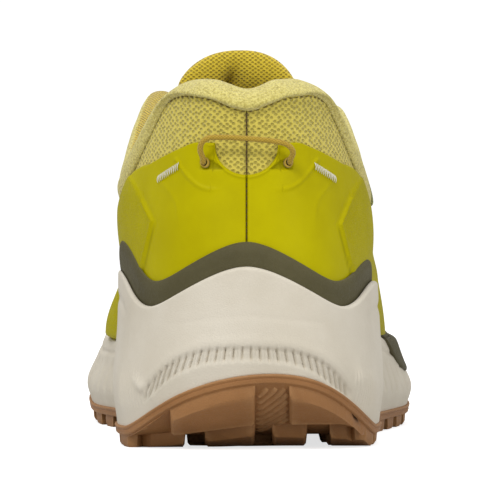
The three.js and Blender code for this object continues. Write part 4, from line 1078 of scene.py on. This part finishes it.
def panelShare(p):  # 1 outside the side panel's pointed back edge, 0 on the smooth heel
    x, z = p[..., 0], p[..., 2]
    outer, inner = (np.interp(z, *np.transpose(panelEdge[name])) for name in bothSides)
    line = np.where(x > 0, outer, inner)
    return smoothStep(np.abs(x) - line, -0.15, 0.55) + 0 * x, np.abs(x) - line


def anchorStrip(x, z):  # the sunk strip between each of the loop's anchors and the window
    inner = mix(6.5, 10.5, np.clip((z - 91) / 3, 0, 1))
    strip = smoothStep(z, 90.8, 91.6) * (1 - smoothStep(z, 93.8, 94.6))
    return strip * (1 - smoothStep(x, 14.4, 15.4)) * smoothStep(x, inner, inner + 1)


def heelSwell(u, v, p):
    x, z = np.abs(p[..., 0]), p[..., 2]
    move = np.zeros_like(x)
    for knots, high, wide, fade in foldLines:
        away, share = lineDistance(x, z, knots)
        move += high * bell(away, 0, wide) * (1 - fade * smoothStep(share, 0.6, 1.0))
    inner = smoothStep(z, 84, 92) * (1 - smoothStep(x, 19, 23))
    move += 0.22 * inner
    raised, past = panelShare(p)
    move += filmForm["panelRise"] * raised + 0.22 * bell(past, 0.5, 0.5) - 0.1 * bell(past, -0.9, 0.5)
    move -= 0.85 * bell(x, 0, 0.32)
    window = filmTop(u) - (z - 30)
    move += 0.4 * bell(window, 0.8, 0.55) * (1 - smoothStep(x, 11.5, 13))
    return move - 0.5 * anchorStrip(x, z)


# the panel past the heel film's joint keeps the same pointed edge, then covers the whole side
def sideShare(u, p):
    return np.maximum(panelShare(p)[0], smoothStep(np.abs(u), 2.8, 3.5))


def innerBulge(u, z):  # the ball of the foot swells the inner side out over the rim
    low = (1 - 0.68 * smoothStep(z, 34, 54)) * (1 - smoothStep(z, 52, 66))
    return 4.6 * bell(u, -7.1, 0.9) * low * smoothStep(z, 29.5, 32.5)


def heelMarks(u, v, p):
    x, z = np.abs(p[..., 0]), p[..., 2]
    strip = anchorStrip(x, z)
    raised, past = panelShare(p)
    # painted shade: a fine dark line under the panel's edge
    panelEdgeShade = 0.55 * bell(past, -0.35, 0.3) * (1 - smoothStep(z, 70, 74))
    # the middle groove, the recessed anchor strips and the line under the panel's edge are darkened as
    # painted shade
    return {"sunk": np.clip(1.15 * bell(x, 0, 0.3) + 0.75 * strip + panelEdgeShade, 0, 1), "pebbled": raised}


def panelTop(u):  # the side panel's upper edge, kept under the collar's roll
    below = np.where(np.abs(u) < collarForm["end"], topHeight(u) - rollDown(np.abs(u)), 99)
    return vAt(u, np.minimum(panelLine(np.abs(u)), below - 0.9))


def panelSwell(u, v, p):  # the raised panel, a faint ridge along it and the swelling at the ball of the foot
    ridge = 0.3 * bell(v, 0.55 - 0.02 * np.abs(u), 0.02) * smoothStep(np.abs(u), 3, 4)
    return filmForm["panelRise"] * sideShare(u, p) + ridge + innerBulge(u, p[..., 2])


heelUs = np.unique(np.concatenate([np.linspace(-2.325, 2.325, 321), np.linspace(-0.09, 0.09, 37)]))
heelBs = np.concatenate([np.linspace(0, 0.45, 12), mix(0.45, 1.0, crowded(110, 0.5))[1:]])
layerPiece(
    "heelFilm", heelUs, lambda u: vAt(u, 8), lambda u: vAt(u, filmTop(u)),
    (filmForm["inner"], filmForm["outer"]), heelBs, (84, 62), "film",
    ["heel_film_lateral", "heel_film_medial"], swell=heelSwell, marks=heelMarks, edge=0.7,
    butted=(True, True),
)
for name, side in bothSides.items():
    layerPiece(
        f"sidePanel_{name}", side * np.linspace(filmForm["panelBack"] - 0.028, 8.2, 221), lambda u: vAt(u, 5),
        panelTop, (filmForm["inner"], filmForm["outer"]), crowded(60, 0.6), (210, 40), "film",
        [f"side_panel_{name}"], swell=panelSwell, marks=lambda u, v, p: {"pebbled": sideShare(u, p)},
        edge=0.9, butted=(True, False),
    )
    layerPiece(
        f"eyestay_{name}", side * np.linspace(5.13, 7.6, 101), lambda u: 0.8 - 0.05 * np.abs(np.abs(u) - 6.4),
        lambda u: np.ones_like(u), (0.52, 1.52), crowded(24, 0.5), (80, 12), "capFilm",
        [f"eyestay_{name}"], edge=0.7,
    )
capUs = np.linspace(8.5, 15.5, 241)


def capHeights(u, height):
    return vAt(around(u), height)


layerPiece(
    "toeCapFilm", capUs, lambda u: capHeights(u, 3), lambda u: capHeights(u, toeCapTop(np.abs(around(u)))),
    (0.6, 1.4), crowded(30, 0.6), (200, 15), "capFilm", ["toe_cap"], edge=0.9,
)
print("upper ready")

# ---- padded collar: foam wrapped in brushed lining, a closed section carried round the ankle


def foamBack(u, v):  # depth of the foam's inner face: thick round the ankle, thin at the throat
    p = face(u, v)
    ankle = smoothStep(p[..., 2] - bed(p[..., 1]), 22, 52)
    thinner = 1 - 0.75 * smoothStep(np.abs(u), 4, 5)
    return collarForm["face"] - 0.9 - (wallOf["collarFoam"] - 0.9) * ankle * thinner


def makeCollar():
    u = np.linspace(-collarForm["end"], collarForm["end"], collarForm["sections"])
    down, top = rollDown(np.abs(u)), topHeight(u)
    deep = foamBack(u, np.ones_like(u)) - 1.3

    def at(v, out, rise=0.0):
        return wall(u, v + 0 * u, out + 0 * u, rise + 0 * u)

    full = curveThrough([[0, 0.25], [0.6, 0.3], [2, 0.9], [3.2, 1.5], [4.4, 1.1], [5.05, 0.3]])(np.abs(u))
    knots = [
        at(vAt(u, top - down - 0.5), 0.1),
        at(vAt(u, top - down + 0.2), 0.95 + 0.3 * full),
        at(vAt(u, top - down * 0.5), 1.45 + full),
        at(1.0, 1.5 + 0.5 * full, 0.9),
        at(1.0, mix(deep, 1.4, 0.78), 3.2),
        at(1.0, mix(deep, 1.4, 0.42), 4.35),
        at(1.0, mix(deep, 1.4, 0.08), 3.2),
        at(1.0, deep - 0.6, 0.6),
    ]
    vLow, vFoam = vAt(u, collarForm["low"]), vAt(u, collarForm["foamLow"])
    for k in (0.86, 0.7, 0.52, 0.34, 0.17, 0.02):
        v = mix(vFoam, 1.0, k)
        quilt = 0.35 * np.sin(k * 3 * np.pi) ** 2
        knots.append(at(v, foamBack(u, v) - 1.3 - quilt))
    knots += [at(vLow, foamBack(u, vLow) - 1.3), at(vLow, foamBack(u, vLow) - 0.4)]
    knots += [at(mix(vLow, vAt(u, top - down), k), collarForm["face"] - 0.1) for k in (0.3, 0.6, 0.85)]
    knots += [at(vAt(u, top - down + 0.5), -1.6)]
    knots = np.array(knots)
    rows = alongKnots(knots, np.linspace(0, 1, collarForm["around"] + 1), closed=True)
    ends = []
    # both ends closed to a line along the section's middle
    for k, grid in ((0, rows[:, :1]), (-1, rows[:, -1:])):
        mid = (grid + grid[::-1]) / 2
        ends.append(np.concatenate([grid, mid], 1) if k else np.concatenate([mid, grid], 1))
    wrinkle = 0.12 * np.sin(rows[..., 0] * 0.55) * np.sin(rows[..., 1] * 0.31 + rows[..., 2] * 0.42)
    centre = rows.mean(0, keepdims=True)
    rows = rows + unit(rows - centre) * wrinkle[..., None]
    index = np.linspace(0, len(knots), len(rows))[:, None] + 0 * rows[..., 0]
    startAt = mix(7.0, np.where(u < 0, 3.2, 4.2), smoothStep(np.abs(u), 3.5, 4.3))[None, :]
    inside = smoothStep(index, startAt - 0.15, startAt + 0.15) * (1 - smoothStep(index, 19, 20))
    piece = buildPiece(
        "collarPadding", [patch(rows, marks={"inside": inside})] + [patch(e) for e in ends], finish["nap"],
        stands=["collar_foam", "collar_lining"], crease=180,
    )
    return piece


makeCollar()

# ---- tongue: a padded strip with rounded edges and a tucked middle
tongueRows = np.array([  # y, height above the bed, half width, droop at the edges, foam
    [178, 30, 16, 4, 0.8], [160, 38, 20, 6, 0.9], [130, 56, 23, 8, 1.6], [104, 72.5, 24, 9, 4],
    [88, 84, 22, 9, 5.5], [81, 95, 19, 6, 5.5], [77, 105, 17.5, 4.5, 4.5],
])
tongueForm = {"middle": -2.0, "around": 96, "padding": 2.6, "sewn": 0.03, "closing": 0.88, "closes": 0.12}
tongueY = tongueRows[:, 0]
middleX = np.full_like(tongueY, tongueForm["middle"])
tongueKnots = np.column_stack([middleX, tongueY, bed(tongueY) + tongueRows[:, 1]])


# Catmull-Rom with square-root spacing through points, t from 0 to 1 in equal shares
def centripetal(points, t):
    points = np.asarray(points, float)
    full = np.concatenate([[2 * points[0] - points[1]], points, [2 * points[-1] - points[-2]]])
    s = np.clip(np.asarray(t, float), 0, 1) * (len(points) - 1)
    i = np.minimum(np.floor(s).astype(int), len(points) - 2)
    f = (s - i)[..., None]
    p = [full[i + k] for k in range(4)]
    d = [np.maximum(np.sqrt(np.linalg.norm(p[k + 1] - p[k], axis=-1, keepdims=True)), 1e-4) for k in range(3)]
    m1 = ((p[1] - p[0]) / d[0] - (p[2] - p[0]) / (d[0] + d[1]) + (p[2] - p[1]) / d[1]) * d[1]
    m2 = ((p[2] - p[1]) / d[1] - (p[3] - p[1]) / (d[1] + d[2]) + (p[3] - p[2]) / d[2]) * d[1]
    return hermite(f, p[1], m1, p[2], m2)


rowShare = np.linspace(0, 1, len(tongueRows))
tongueHalf, tongueDroop, tongueFoam = (
    curveThrough(np.column_stack([rowShare, tongueRows[:, k]])) for k in (2, 3, 4)
)


def tongue(t, w, out):  # t from the sewn end to the tip, w from -1 to 1 across, out from the front face
    t = np.asarray(t, float)
    tangent = centripetal(tongueKnots, t + 0.001) - centripetal(tongueKnots, t - 0.001)
    normal = unit(np.stack([0 * tangent[..., 1], tangent[..., 2], -tangent[..., 1]], -1))
    p = centripetal(tongueKnots, t)
    p = p + np.stack([w * tongueHalf(t), 0 * w * t, 0 * w * t], -1)
    return p + normal * np.asarray(out - tongueDroop(t) * w * w, float)[..., None]


def makeTongue():
    sewn, closing, closes = (tongueForm[key] for key in ("sewn", "closing", "closes"))
    t = closing + closes * np.sin(np.linspace(0, np.pi / 2, 52)[1:])
    t = np.concatenate([np.linspace(0, closing, 120), t])[:, None]
    angle = np.linspace(0, 2 * np.pi, tongueForm["around"] + 1)[None, :]
    c, s = np.cos(angle), np.sin(angle)
    close = np.sqrt(np.maximum(0, 1 - np.clip((t - closing) / closes, 0, 1) ** 2))
    start = np.sqrt(np.maximum(0.0, 1 - np.clip((sewn - t) / sewn, 0, 1) ** 2))
    thick = tongueFoam(t) + tongueForm["padding"]
    dome = np.sqrt(np.maximum(0, 1 - np.clip((t - 0.8) / 0.2, 0, 1) ** 2.2))
    w = np.sign(c) * np.abs(c) ** 0.75 * 0.995 * mix(0.04, 1.0, dome)
    side = np.sign(s) * np.abs(s) ** 0.62
    out = -thick / 2 + thick / 2 * side * close * start
    middle = tongueForm["middle"]
    x = w * tongueHalf(t) + middle
    backside = np.clip(-side, 0, 1)
    zHere = centripetal(tongueKnots, t[:, 0])[:, 2][:, None]
    tuck = bell(x, -6 + 0.3 * (zHere - 121), 1.7) * bell(zHere, 121, 5.5)
    tuck = tuck + 0.55 * bell(x, -4, 7) * bell(zHere, 116, 6)
    dip = 0.9 * bell(zHere, 126, 4) * (1 - bell(x, -6, 6)) * backside * close
    out = out + 5.5 * tuck * backside * close - dip
    front = np.clip(side, 0, 1)
    groove = 0.5 * front * np.clip(np.cos(2 * np.pi * t * 9), 0, 1) ** 6
    out = out - groove * smoothStep(t, 0.35, 0.5) * (1 - smoothStep(t, 0.8, 0.9))
    grid = tongue(t + 0 * angle, w, out)
    # the tip spreads, more on the inner side, and stands a little taller
    tip = smoothStep(t, 0.74, 0.88) + 0 * angle
    wider = np.where(grid[..., 0] < middle, 0.2, 0.06) * tip
    grid[..., 0] = middle + (grid[..., 0] - middle) * (1 + wider)
    grid[..., 2] += 0.7 * smoothStep(t, 0.85, 1.0) + 0 * angle
    stands = [f"tongue{part}_{layer}" for part in ("", "_tip") for layer in ("facing", "foam", "lining")]
    piece = buildPiece(
        "tonguePadding", [patch(grid)], finish["tongueKnit"], body=None, stands=stands,
        crease=180, weld=0.01,
    )
    a, b = (tongue(np.array([k]), np.array([0.0]), np.array([-3.0]))[0] * mm for k in (0.64, 0.77))
    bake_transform(piece)
    return piece


makeTongue()
print("padding ready")

# ---- lacing: loops of webbing, a lace through them, a knot with two bows and two tails
laceForm = {"radius": 1.5, "rows": 4, "web": 4.0, "tip": 14.0}


def loopPlace(side, row):  # beside the throat's edge: centre, and directions heelwards, inwards and out
    u = side * mix(7.05, 5.8, row / (laceForm["rows"] - 1))
    along, up, away = directions(u, 0.97)
    heelwards = along * -side
    inwards = unit(up - heelwards * np.dot(up, heelwards))
    out = unit(np.cross(inwards, heelwards) * side)
    return face(u, 1.0) + inwards * 5.5 + away * 1.8, heelwards, inwards, out


def tongueAt(y):
    t = np.linspace(0, 1, 2001)
    line = centripetal(tongueKnots, t)[:, 1]
    return float(np.interp(-y, -line, t))


def onTongue(t, w, out):
    return tongue(np.array([t]), np.array([float(w)]), np.array([float(out)]))[0]


knotPlace = onTongue(tongueAt(89.5), 0, laceForm["radius"] + 3.4)


def strand(start, over):
    points = []
    for row in range(laceForm["rows"]):
        side = -start if row % 2 else start
        centre, heelwards, inwards = loopPlace(side, row)[:3]
        points += [centre - inwards * 0.6 + heelwards * d for d in (-4.6, -2.4, 0, 2.4, 4.6)]
        if row + 1 < laceForm["rows"]:
            y = (loopPlace(1, row)[0][1] + loopPlace(1, row + 1)[0][1]) / 2
            points.append(onTongue(tongueAt(y), 0, over))
    return points + [knotPlace + np.array([start * -8.0, -0.5, -0.5]), knotPlace]


def smoothPath(points, steps):
    return centripetal(np.array(points), np.linspace(0, 1, steps + 1))


def bowLoop(side):
    k = knotPlace
    hanging = [  # station, v and distance out, down the shoe's side and back up
        (5.95, 1, 11), (6.1, 0.86, 8), (6.2, 0.72, 6.4), (6.4, 0.66, 6), (6.58, 0.74, 6.4), (6.55, 0.88, 8),
        (6.38, 1, 11),
    ]
    beside = [wall(side * u, v, out) for u, v, out in hanging]
    return [k, k + [side * 9, 1, 6]] + beside + [k + [side * 9, 8, 7], k + [side * 1.0, 1, 0]]


def laceTail(side):
    k = knotPlace
    lying = ((0.5, 0.15, 14), (0.4, 0.18, 15), (0.3, 0.22, 15), (0.23, 0.28, 14))
    return [k, k + [side * 3, 8, 1]] + [onTongue(t, side * w, out) for t, w, out in lying]


def corded(name, path, radius, finishName, slotName, body="shoe", stands=(), sides=14, **lay):
    piece = buildPiece(
        name, [tubeGrid(path, radius, sides)], finish[finishName], body=body, stands=stands,
        crease=180,
    )
    return piece


def makeLace():
    left, right = strand(1, 5.2), strand(-1, 2.3)
    bar = (left[0] + right[0]) / 2 + np.array([0, 4, 1.5])
    corded(
        "laceRun", smoothPath(right[::-1] + [bar] + left, 640), laceForm["radius"], "lace", "webbing",
        stands=["lace"],
    )
    a, b = np.linspace(0, 2 * np.pi, 41)[:, None], np.linspace(-np.pi / 2, np.pi / 2, 25)[None, :]
    bulge = 1 + 0.12 * np.sin(3 * a + 2 * b)
    x, y = 5.2 * np.cos(a) * np.cos(b) * bulge, 3.6 * np.sin(a) * np.cos(b) * bulge
    z = 3.4 * np.sin(b) * (1 + 0.1 * np.cos(2 * a))
    knot = np.stack(np.broadcast_arrays(x, y, z), -1) + knotPlace
    wraps = []
    for x, tilt in ((-1.4, 0.35), (1.6, -0.3)):  # the strands that cross over the knot
        s = np.linspace(-2.2, 2.2, 30)
        path = np.stack([x + tilt * s * 1.6, 3.9 * np.sin(s), 3.9 * np.cos(s)], -1) + knotPlace
        wraps.append(tubeGrid(path, 1.25, 10))
    buildPiece("laceKnot", [patch(knot)] + wraps, finish["lace"], crease=180)
    for name, side in bothSides.items():
        corded(
            f"laceBow_{name}", smoothPath(bowLoop(side), 150), laceForm["radius"], "lace", "webbing",
            far_end="object", stiffness="limp", lay="loose",
        )
        path = smoothPath(laceTail(side), 90)
        end = path[-1]
        heading = unit(laceTail(side)[-1] - laceTail(side)[-2])
        tip = end + heading[None, :] * np.linspace(-1.5, laceForm["tip"], 24)[:, None]
        profile = tubeGrid(tip, laceForm["radius"] * 0.92, 16)
        piece = buildPiece(
            f"laceTip_{name}", [profile], finish["tip"], stands=[f"aglet_{name}"], crease=180,
        )
        corded(
            f"laceTail_{name}", path, laceForm["radius"], "lace", "webbing", far_end="fitting",
            stiffness="limp", lay="loose", with_pieces=[piece],
        )


makeLace()


# a doubled strap: along the stay, round the lace and back, with a box of stitches
def makeLaceLoop(side, row, name):
    centre, heelwards, inwards, out = loopPlace(side, row)
    line = np.array(
        [
            [-12.7, 0.35], [-9, 0.35], [-5.4, 0.2], [-4.3, -1.3], [-1.5, -2.6], [2.2, -2.4], [4.0, -0.6],
            [3.9, 1.4], [2.0, 2.55], [-1.2, 2.6], [-4.0, 2.0], [-6.0, 1.35], [-9, 1.3], [-12.7, 1.3],
        ]
    )
    path = alongKnots(line, np.linspace(0, 1, 80))
    normal = unit(np.gradient(path, axis=0)[:, ::-1] * [1, -1])
    half, thick = laceForm["web"] / 2, 0.42
    section = np.array(
        [[-1, -1], [0, -1.05], [1, -1], [1.06, 0], [1, 1], [0, 1.05], [-1, 1], [-1.06, 0], [-1, -1]]
    ) * [half, thick]
    flat = path[:, None, :] + normal[:, None, :] * section[None, :, 1:]
    grid = centre + inwards * flat[..., :1] + out * flat[..., 1:] + heelwards * (
        section[None, :, :1] + 0 * flat[..., :1]
    )
    ends = [np.stack([g, np.broadcast_to(g.mean(0), g.shape)], 0) for g in (grid[0], grid[-1])]
    buildPiece(
        f"laceLoop_{name}_{row + 1}", [patch(grid)] + [patch(e) for e in ends], finish["webbing"],
        stands=[f"lace_loop_{name}_{row + 1}"], crease=60,
    )
    at = np.array(
        [
            [-11.6, -1.5], [-11.6, 0], [-11.6, 1.5], [-9.6, -1.5], [-9.6, 1.5], [-7.6, -1.5], [-7.6, 0],
            [-7.6, 1.5],
        ]
    )
    starts = centre + inwards * (at[:, :1] - 0.6) + heelwards * at[:, 1:] + out * 1.75
    return stitchGrids(starts, starts + inwards * 1.2, np.broadcast_to(out, starts.shape), 0.2, 0.2)


tacks = []
for name, side in bothSides.items():
    for row in range(laceForm["rows"]):
        tacks += makeLaceLoop(side, row, name)
buildPiece("loopStitches", tacks, finish["tan"], crease=180)
print("lacing ready")

# ---- heel loop: a round braided cord through two moulded eyelets
pullForm = {"radius": 0.9, "height": 63.2, "rise": 7.6, "out": 2.9, "station": 14 / 16.9}
eyeletForm = {"ring": 1.3, "tube": 0.36, "depth": 0.7, "out": 1.75}


def makePull():
    u = pullForm["station"]
    end = wall(u, vAt(u, pullForm["height"]), pullForm["out"])
    backY = wall(0.0, vAt(0.0, pullForm["height"] + pullForm["rise"]), pullForm["out"])[1] - 1.6
    arch = np.array(
        [
            [1, 0, 0], [1.02, 0.16, -0.9], [1.07, 0.42, -1.9], [1.04, 0.68, -2.3], [0.9, 0.9, -2],
            [0.6, 0.98, -0.8], [0.25, 1, 0],
        ]
    )
    share = np.linspace(0, 1, 7)
    points = np.column_stack(
        [
            arch[:, 0] * end[0], mix(end[1], backY, share**2) + arch[:, 2],
            end[2] + arch[:, 1] * pullForm["rise"],
        ]
    )
    other = points * [-1, 1, 1]
    other[1:, 2] += np.array([0.4, 0.7, 0.9, 0.9, 0.6, 0.3])
    points[1:, 2] -= np.array([0.1, 0.4, 0.8, 0.9, 0.6, 0.2])
    path = smoothPath(list(other) + list(points[::-1]), 150)
    path = np.concatenate([path[:1] + [[0, 1.6, 0.2]], path, path[-1:] + [[0, 1.6, 0.2]]])
    corded(
        "pullCord", path, pullForm["radius"], "cord", "cord", body="pull_cord", stands=["pull_loop"],
        far_end="object", stiffness="medium", lay="loose",
    )
    for name, side in bothSides.items():
        u = side * pullForm["station"]
        v = vAt(u, pullForm["height"])
        along, up, away = directions(u, v)
        a = np.linspace(0, 2 * np.pi, 33)[:, None]
        b = np.linspace(0, 2 * np.pi, 17)[None, :]
        disk = eyeletForm["ring"] + eyeletForm["tube"] * np.cos(b)
        centre = wall(u, v, eyeletForm["out"])
        grid = centre + along * (disk * np.cos(a))[..., None] + up * (disk * np.sin(a))[..., None]
        grid = grid + away * (eyeletForm["depth"] * np.sin(b) + 0 * a)[..., None]
        buildPiece(
            f"pullEyelet_{name}", [patch(grid)], finish["cord"], stands=[f"pull_eyelet_{name}"],
            crease=180,
        )


makePull()

# ---- stitching: bar tacks, the heel's middle seam, the collar's edge and the overlays' topstitch
for name, side in bothSides.items():
    u = side * np.linspace(1.4, 1.86, 12)
    low = vAt(u, 60.5 - 9 * np.abs(u - side * 1.39))
    high = vAt(u, 63.5 - 9 * np.abs(u - side * 1.39))
    patches = stitchGrids(
        wall(u, low, 1.75), wall(u, high, 1.75), directions(u, (low + high) / 2)[2], 0.18, 0.5,
    )
    buildPiece(
        f"barTack_{name}", patches, finish["white"], stands=[f"bar_tack_{name}"], crease=180,
    )


def makeBackSeam():
    heights = np.linspace(33, 79.4, 60)
    v = vAt(np.zeros(60), heights)
    u = np.array([-0.03, -0.018, 0, 0.018, 0.03])
    film = 1 - smoothStep(heights, 58.2, 59.4)
    out = mix(0.12, 0.42, film)[:, None] * np.array([0.2, 0.9, 1, 0.9, 0.2])[None, :]
    u = u[None, :] * mix(0.4, 1.0, film)[:, None]
    grid = wall(u, v[:, None] + 0 * out, out)
    patches = shell(grid, wall(u, v[:, None] + 0 * out, out * 0 - 0.6))
    uu, vv = evenLine(np.zeros(80), vAt(np.zeros(80), np.linspace(60.2, 79.4, 80)), 2.0)
    patches += seamStitches(uu, vv, 0.3, 0.62, thick=0.26, arch=0.2)
    uu, vv = evenLine(np.zeros(80), vAt(np.zeros(80), np.linspace(38, 59.2, 80)), 2.2)
    patches += seamStitches(uu, vv, 0.55, 0.8, thick=0.2, arch=0.1)
    buildPiece("heelSeam", patches, finish["brown"], stands=["back_seam"], crease=60)


makeBackSeam()


def makeTopstitch():
    for name, spans, finishName in (
        ("collarStitches", [(-2.0, 2.0)], "umber"),
        ("collarSideStitches", [(-5.0, -2.05), (2.05, 5.0)], "tan"),
    ):
        patches = []
        for start, end in spans:
            u = np.linspace(start, end, 200)
            uu, vv = evenLine(u, vAt(u, topHeight(u) - rollDown(np.abs(u)) - 0.9), 2.5)
            patches += seamStitches(uu, vv, 0.2, 0.6, thick=0.2, arch=0.18)
        buildPiece(name, patches, finish[finishName], crease=180)
    light = []
    for side in (1, -1):
        u = side * np.linspace(5.3, 7.5, 120)
        for inset in (0.025, 0.165):
            uu, vv = evenLine(u, 1 - inset - 0 * u, 2.4)
            light += seamStitches(uu, vv, 1.72, 0.62, thick=0.22, arch=0.25)
        u = side * np.linspace(5.15, 5.9, 60)
        v = np.linspace(0.25, 0.95, 60)
        uu, vv = evenLine(side * (vampBack(v) + 0.16), v, 2.3)
        light += seamStitches(uu, vv, 0.12, 0.6, thick=0.22, arch=0.2)
    buildPiece("upperStitches", light, finish["tan"], crease=180)


makeTopstitch()

# ---- insole: a foam footbed with a raised heel cup under a knitted cover
def makeInsole():
    u = np.linspace(-toe, toe, 361)
    middle, edge, inner = spine(u), outline(u, -5.0 + 0 * u), outline(u, -10.3 + 0 * u)
    back = 1 - smoothStep(np.abs(u), 4, 6.5)
    rise = 9 * back + 0.6

    def lift(p, height):
        p = p.copy()
        p[..., 2] = bed(p[..., 1]) + 1.75 + height
        return p

    rows = [  # out along the underside, up the edge and over its rim
        lift(middle, 0 * u), lift(mix(middle, inner, 0.5), 0 * u), lift(inner, 0 * u),
        lift(mix(inner, edge, 0.7), 0.4 + 0 * u), lift(edge, 1.2 + 0 * u), lift(edge, 1.0 + rise * 0.6),
    ]
    rows += [lift(mix(middle, edge, k), high + rise) for k, high in ((0.997, 1.7), (0.985, 2.0), (0.97, 1.9))]
    for k in np.linspace(0.15, 1, 7):
        height = mix(1.9 + rise, 3.6 + 0 * u, 1 - (1 - k) ** 2)
        rows.append(lift(mix(mix(middle, edge, 0.97), inner, k), height))
    for k in (0.35, 0.6, 0.85, 1.0):
        rows.append(lift(mix(inner, middle, k), 3.6 + 0 * u))
    piece = buildPiece(
        "insolePad", [patch(np.array(rows))], finish["insoleCloth"], body="footbed",
        stands=["insole"], crease=70,
    )


makeInsole()

# ---- stiff pieces inside keep their CAD shape, with a finish of their own
for name, finishName in {
    "shank_plate": "stiff", "heel_counter": "stiff", "toe_puff": "board", "lasting_board": "board",
}.items():
    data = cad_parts[name].data
    data.materials.clear()
    data.materials.append(finish[finishName])
print("details ready")

# ---- stage and light
stageForm = {"near": -6000, "far": 5000, "half": 5000, "bend": 1500, "under": 0.05, "glow": 0.72}


def makeStage():  # a flat floor that bends up in a quarter circle far beyond the toe
    t = np.linspace(0, 1, 40)
    turn = (t - 0.5) * np.pi
    y = np.where(
        t < 0.5, mix(stageForm["near"], stageForm["far"], t * 2),
        stageForm["far"] + stageForm["bend"] * np.sin(turn),
    )
    z = np.where(t < 0.5, 0, stageForm["bend"] * (1 - np.cos(turn))) - stageForm["under"]
    x = np.linspace(-stageForm["half"], stageForm["half"], 11)
    grid = np.stack(np.broadcast_arrays(x[:, None], y[None, :], z[None, :]), -1) * mm
    n, m = grid.shape[:2]
    index = np.arange(n * m).reshape(n, m)
    faces = np.stack([index[:-1, :-1], index[1:, :-1], index[1:, 1:], index[:-1, 1:]], -1).reshape(-1, 4)
    mesh = bpy.data.meshes.new("paleSweep")
    mesh.from_pydata(grid.reshape(-1, 3).tolist(), [], faces.tolist())
    floor = bpy.data.objects.new("paleSweep", mesh)
    scene.collection.objects.link(floor)

    def build(tree):  # pale and matt, and lit evenly as the lens sees it
        tone = node(tree, "ShaderNodeTexNoise", {"Vector": ownPlace(tree), "Scale": 40.0})
        seen = node(tree, "ShaderNodeLightPath").outputs["Is Camera Ray"]
        # clear from below, so the tread can be seen
        beneath = times(tree, seen, node(tree, "ShaderNodeNewGeometry").outputs["Backfacing"])
        return {
            "Base Color": tint(tree, tone.outputs[0], (0.6, 0.6, 0.6, 1), (0.64, 0.64, 0.64, 1)),
            "Emission Strength": times(tree, seen, stageForm["glow"]), "Alpha": minus(tree, 1.0, beneath),
        }

    mesh.materials.append(
        makeFinish(
            "paleFloor", build, {"Roughness": 0.9, "Specular IOR Level": 0.0, "Emission Color": (1, 1, 1, 1)},
        )
    )


def addLight(name, place, target, size, power):
    data = bpy.data.lights.new(name, "AREA")
    data.shape, data.size, data.energy = "DISK", size, power
    lamp = bpy.data.objects.new(name, data)
    scene.collection.objects.link(lamp)
    lamp.location = place
    lamp.rotation_euler = (Vector(target) - Vector(place)).to_track_quat("-Z", "Y").to_euler()


makeStage()
for name, place, target, size, power in (  # places and sizes in metres, power in watts
    ("key", (-0.7, -1.5, 1.7), (0, 0, 0.05), 0.8, 25),
    ("fill", (1.6, -1.3, 0.7), (0, 0, 0.06), 1.4, 10),
    ("top", (0, 0.3, 1.9), (0, 0.1, 0), 1.5, 10),
):
    addLight(name, place, target, size, power)
world = bpy.data.worlds.new("studio")
scene.world = world
world.use_nodes = True
sky = world.node_tree.nodes["Background"]
sky.inputs[0].default_value = (1, 1, 1, 1)
seen = node(world.node_tree, "ShaderNodeLightPath").outputs["Is Camera Ray"]
world.node_tree.links.new(ramp(world.node_tree, seen, 0.0, 1.0, 0.58, 1.0), sky.inputs[1])
scene.view_settings.view_transform = "Standard"
scene.view_settings.look = "None"
print("stage ready")
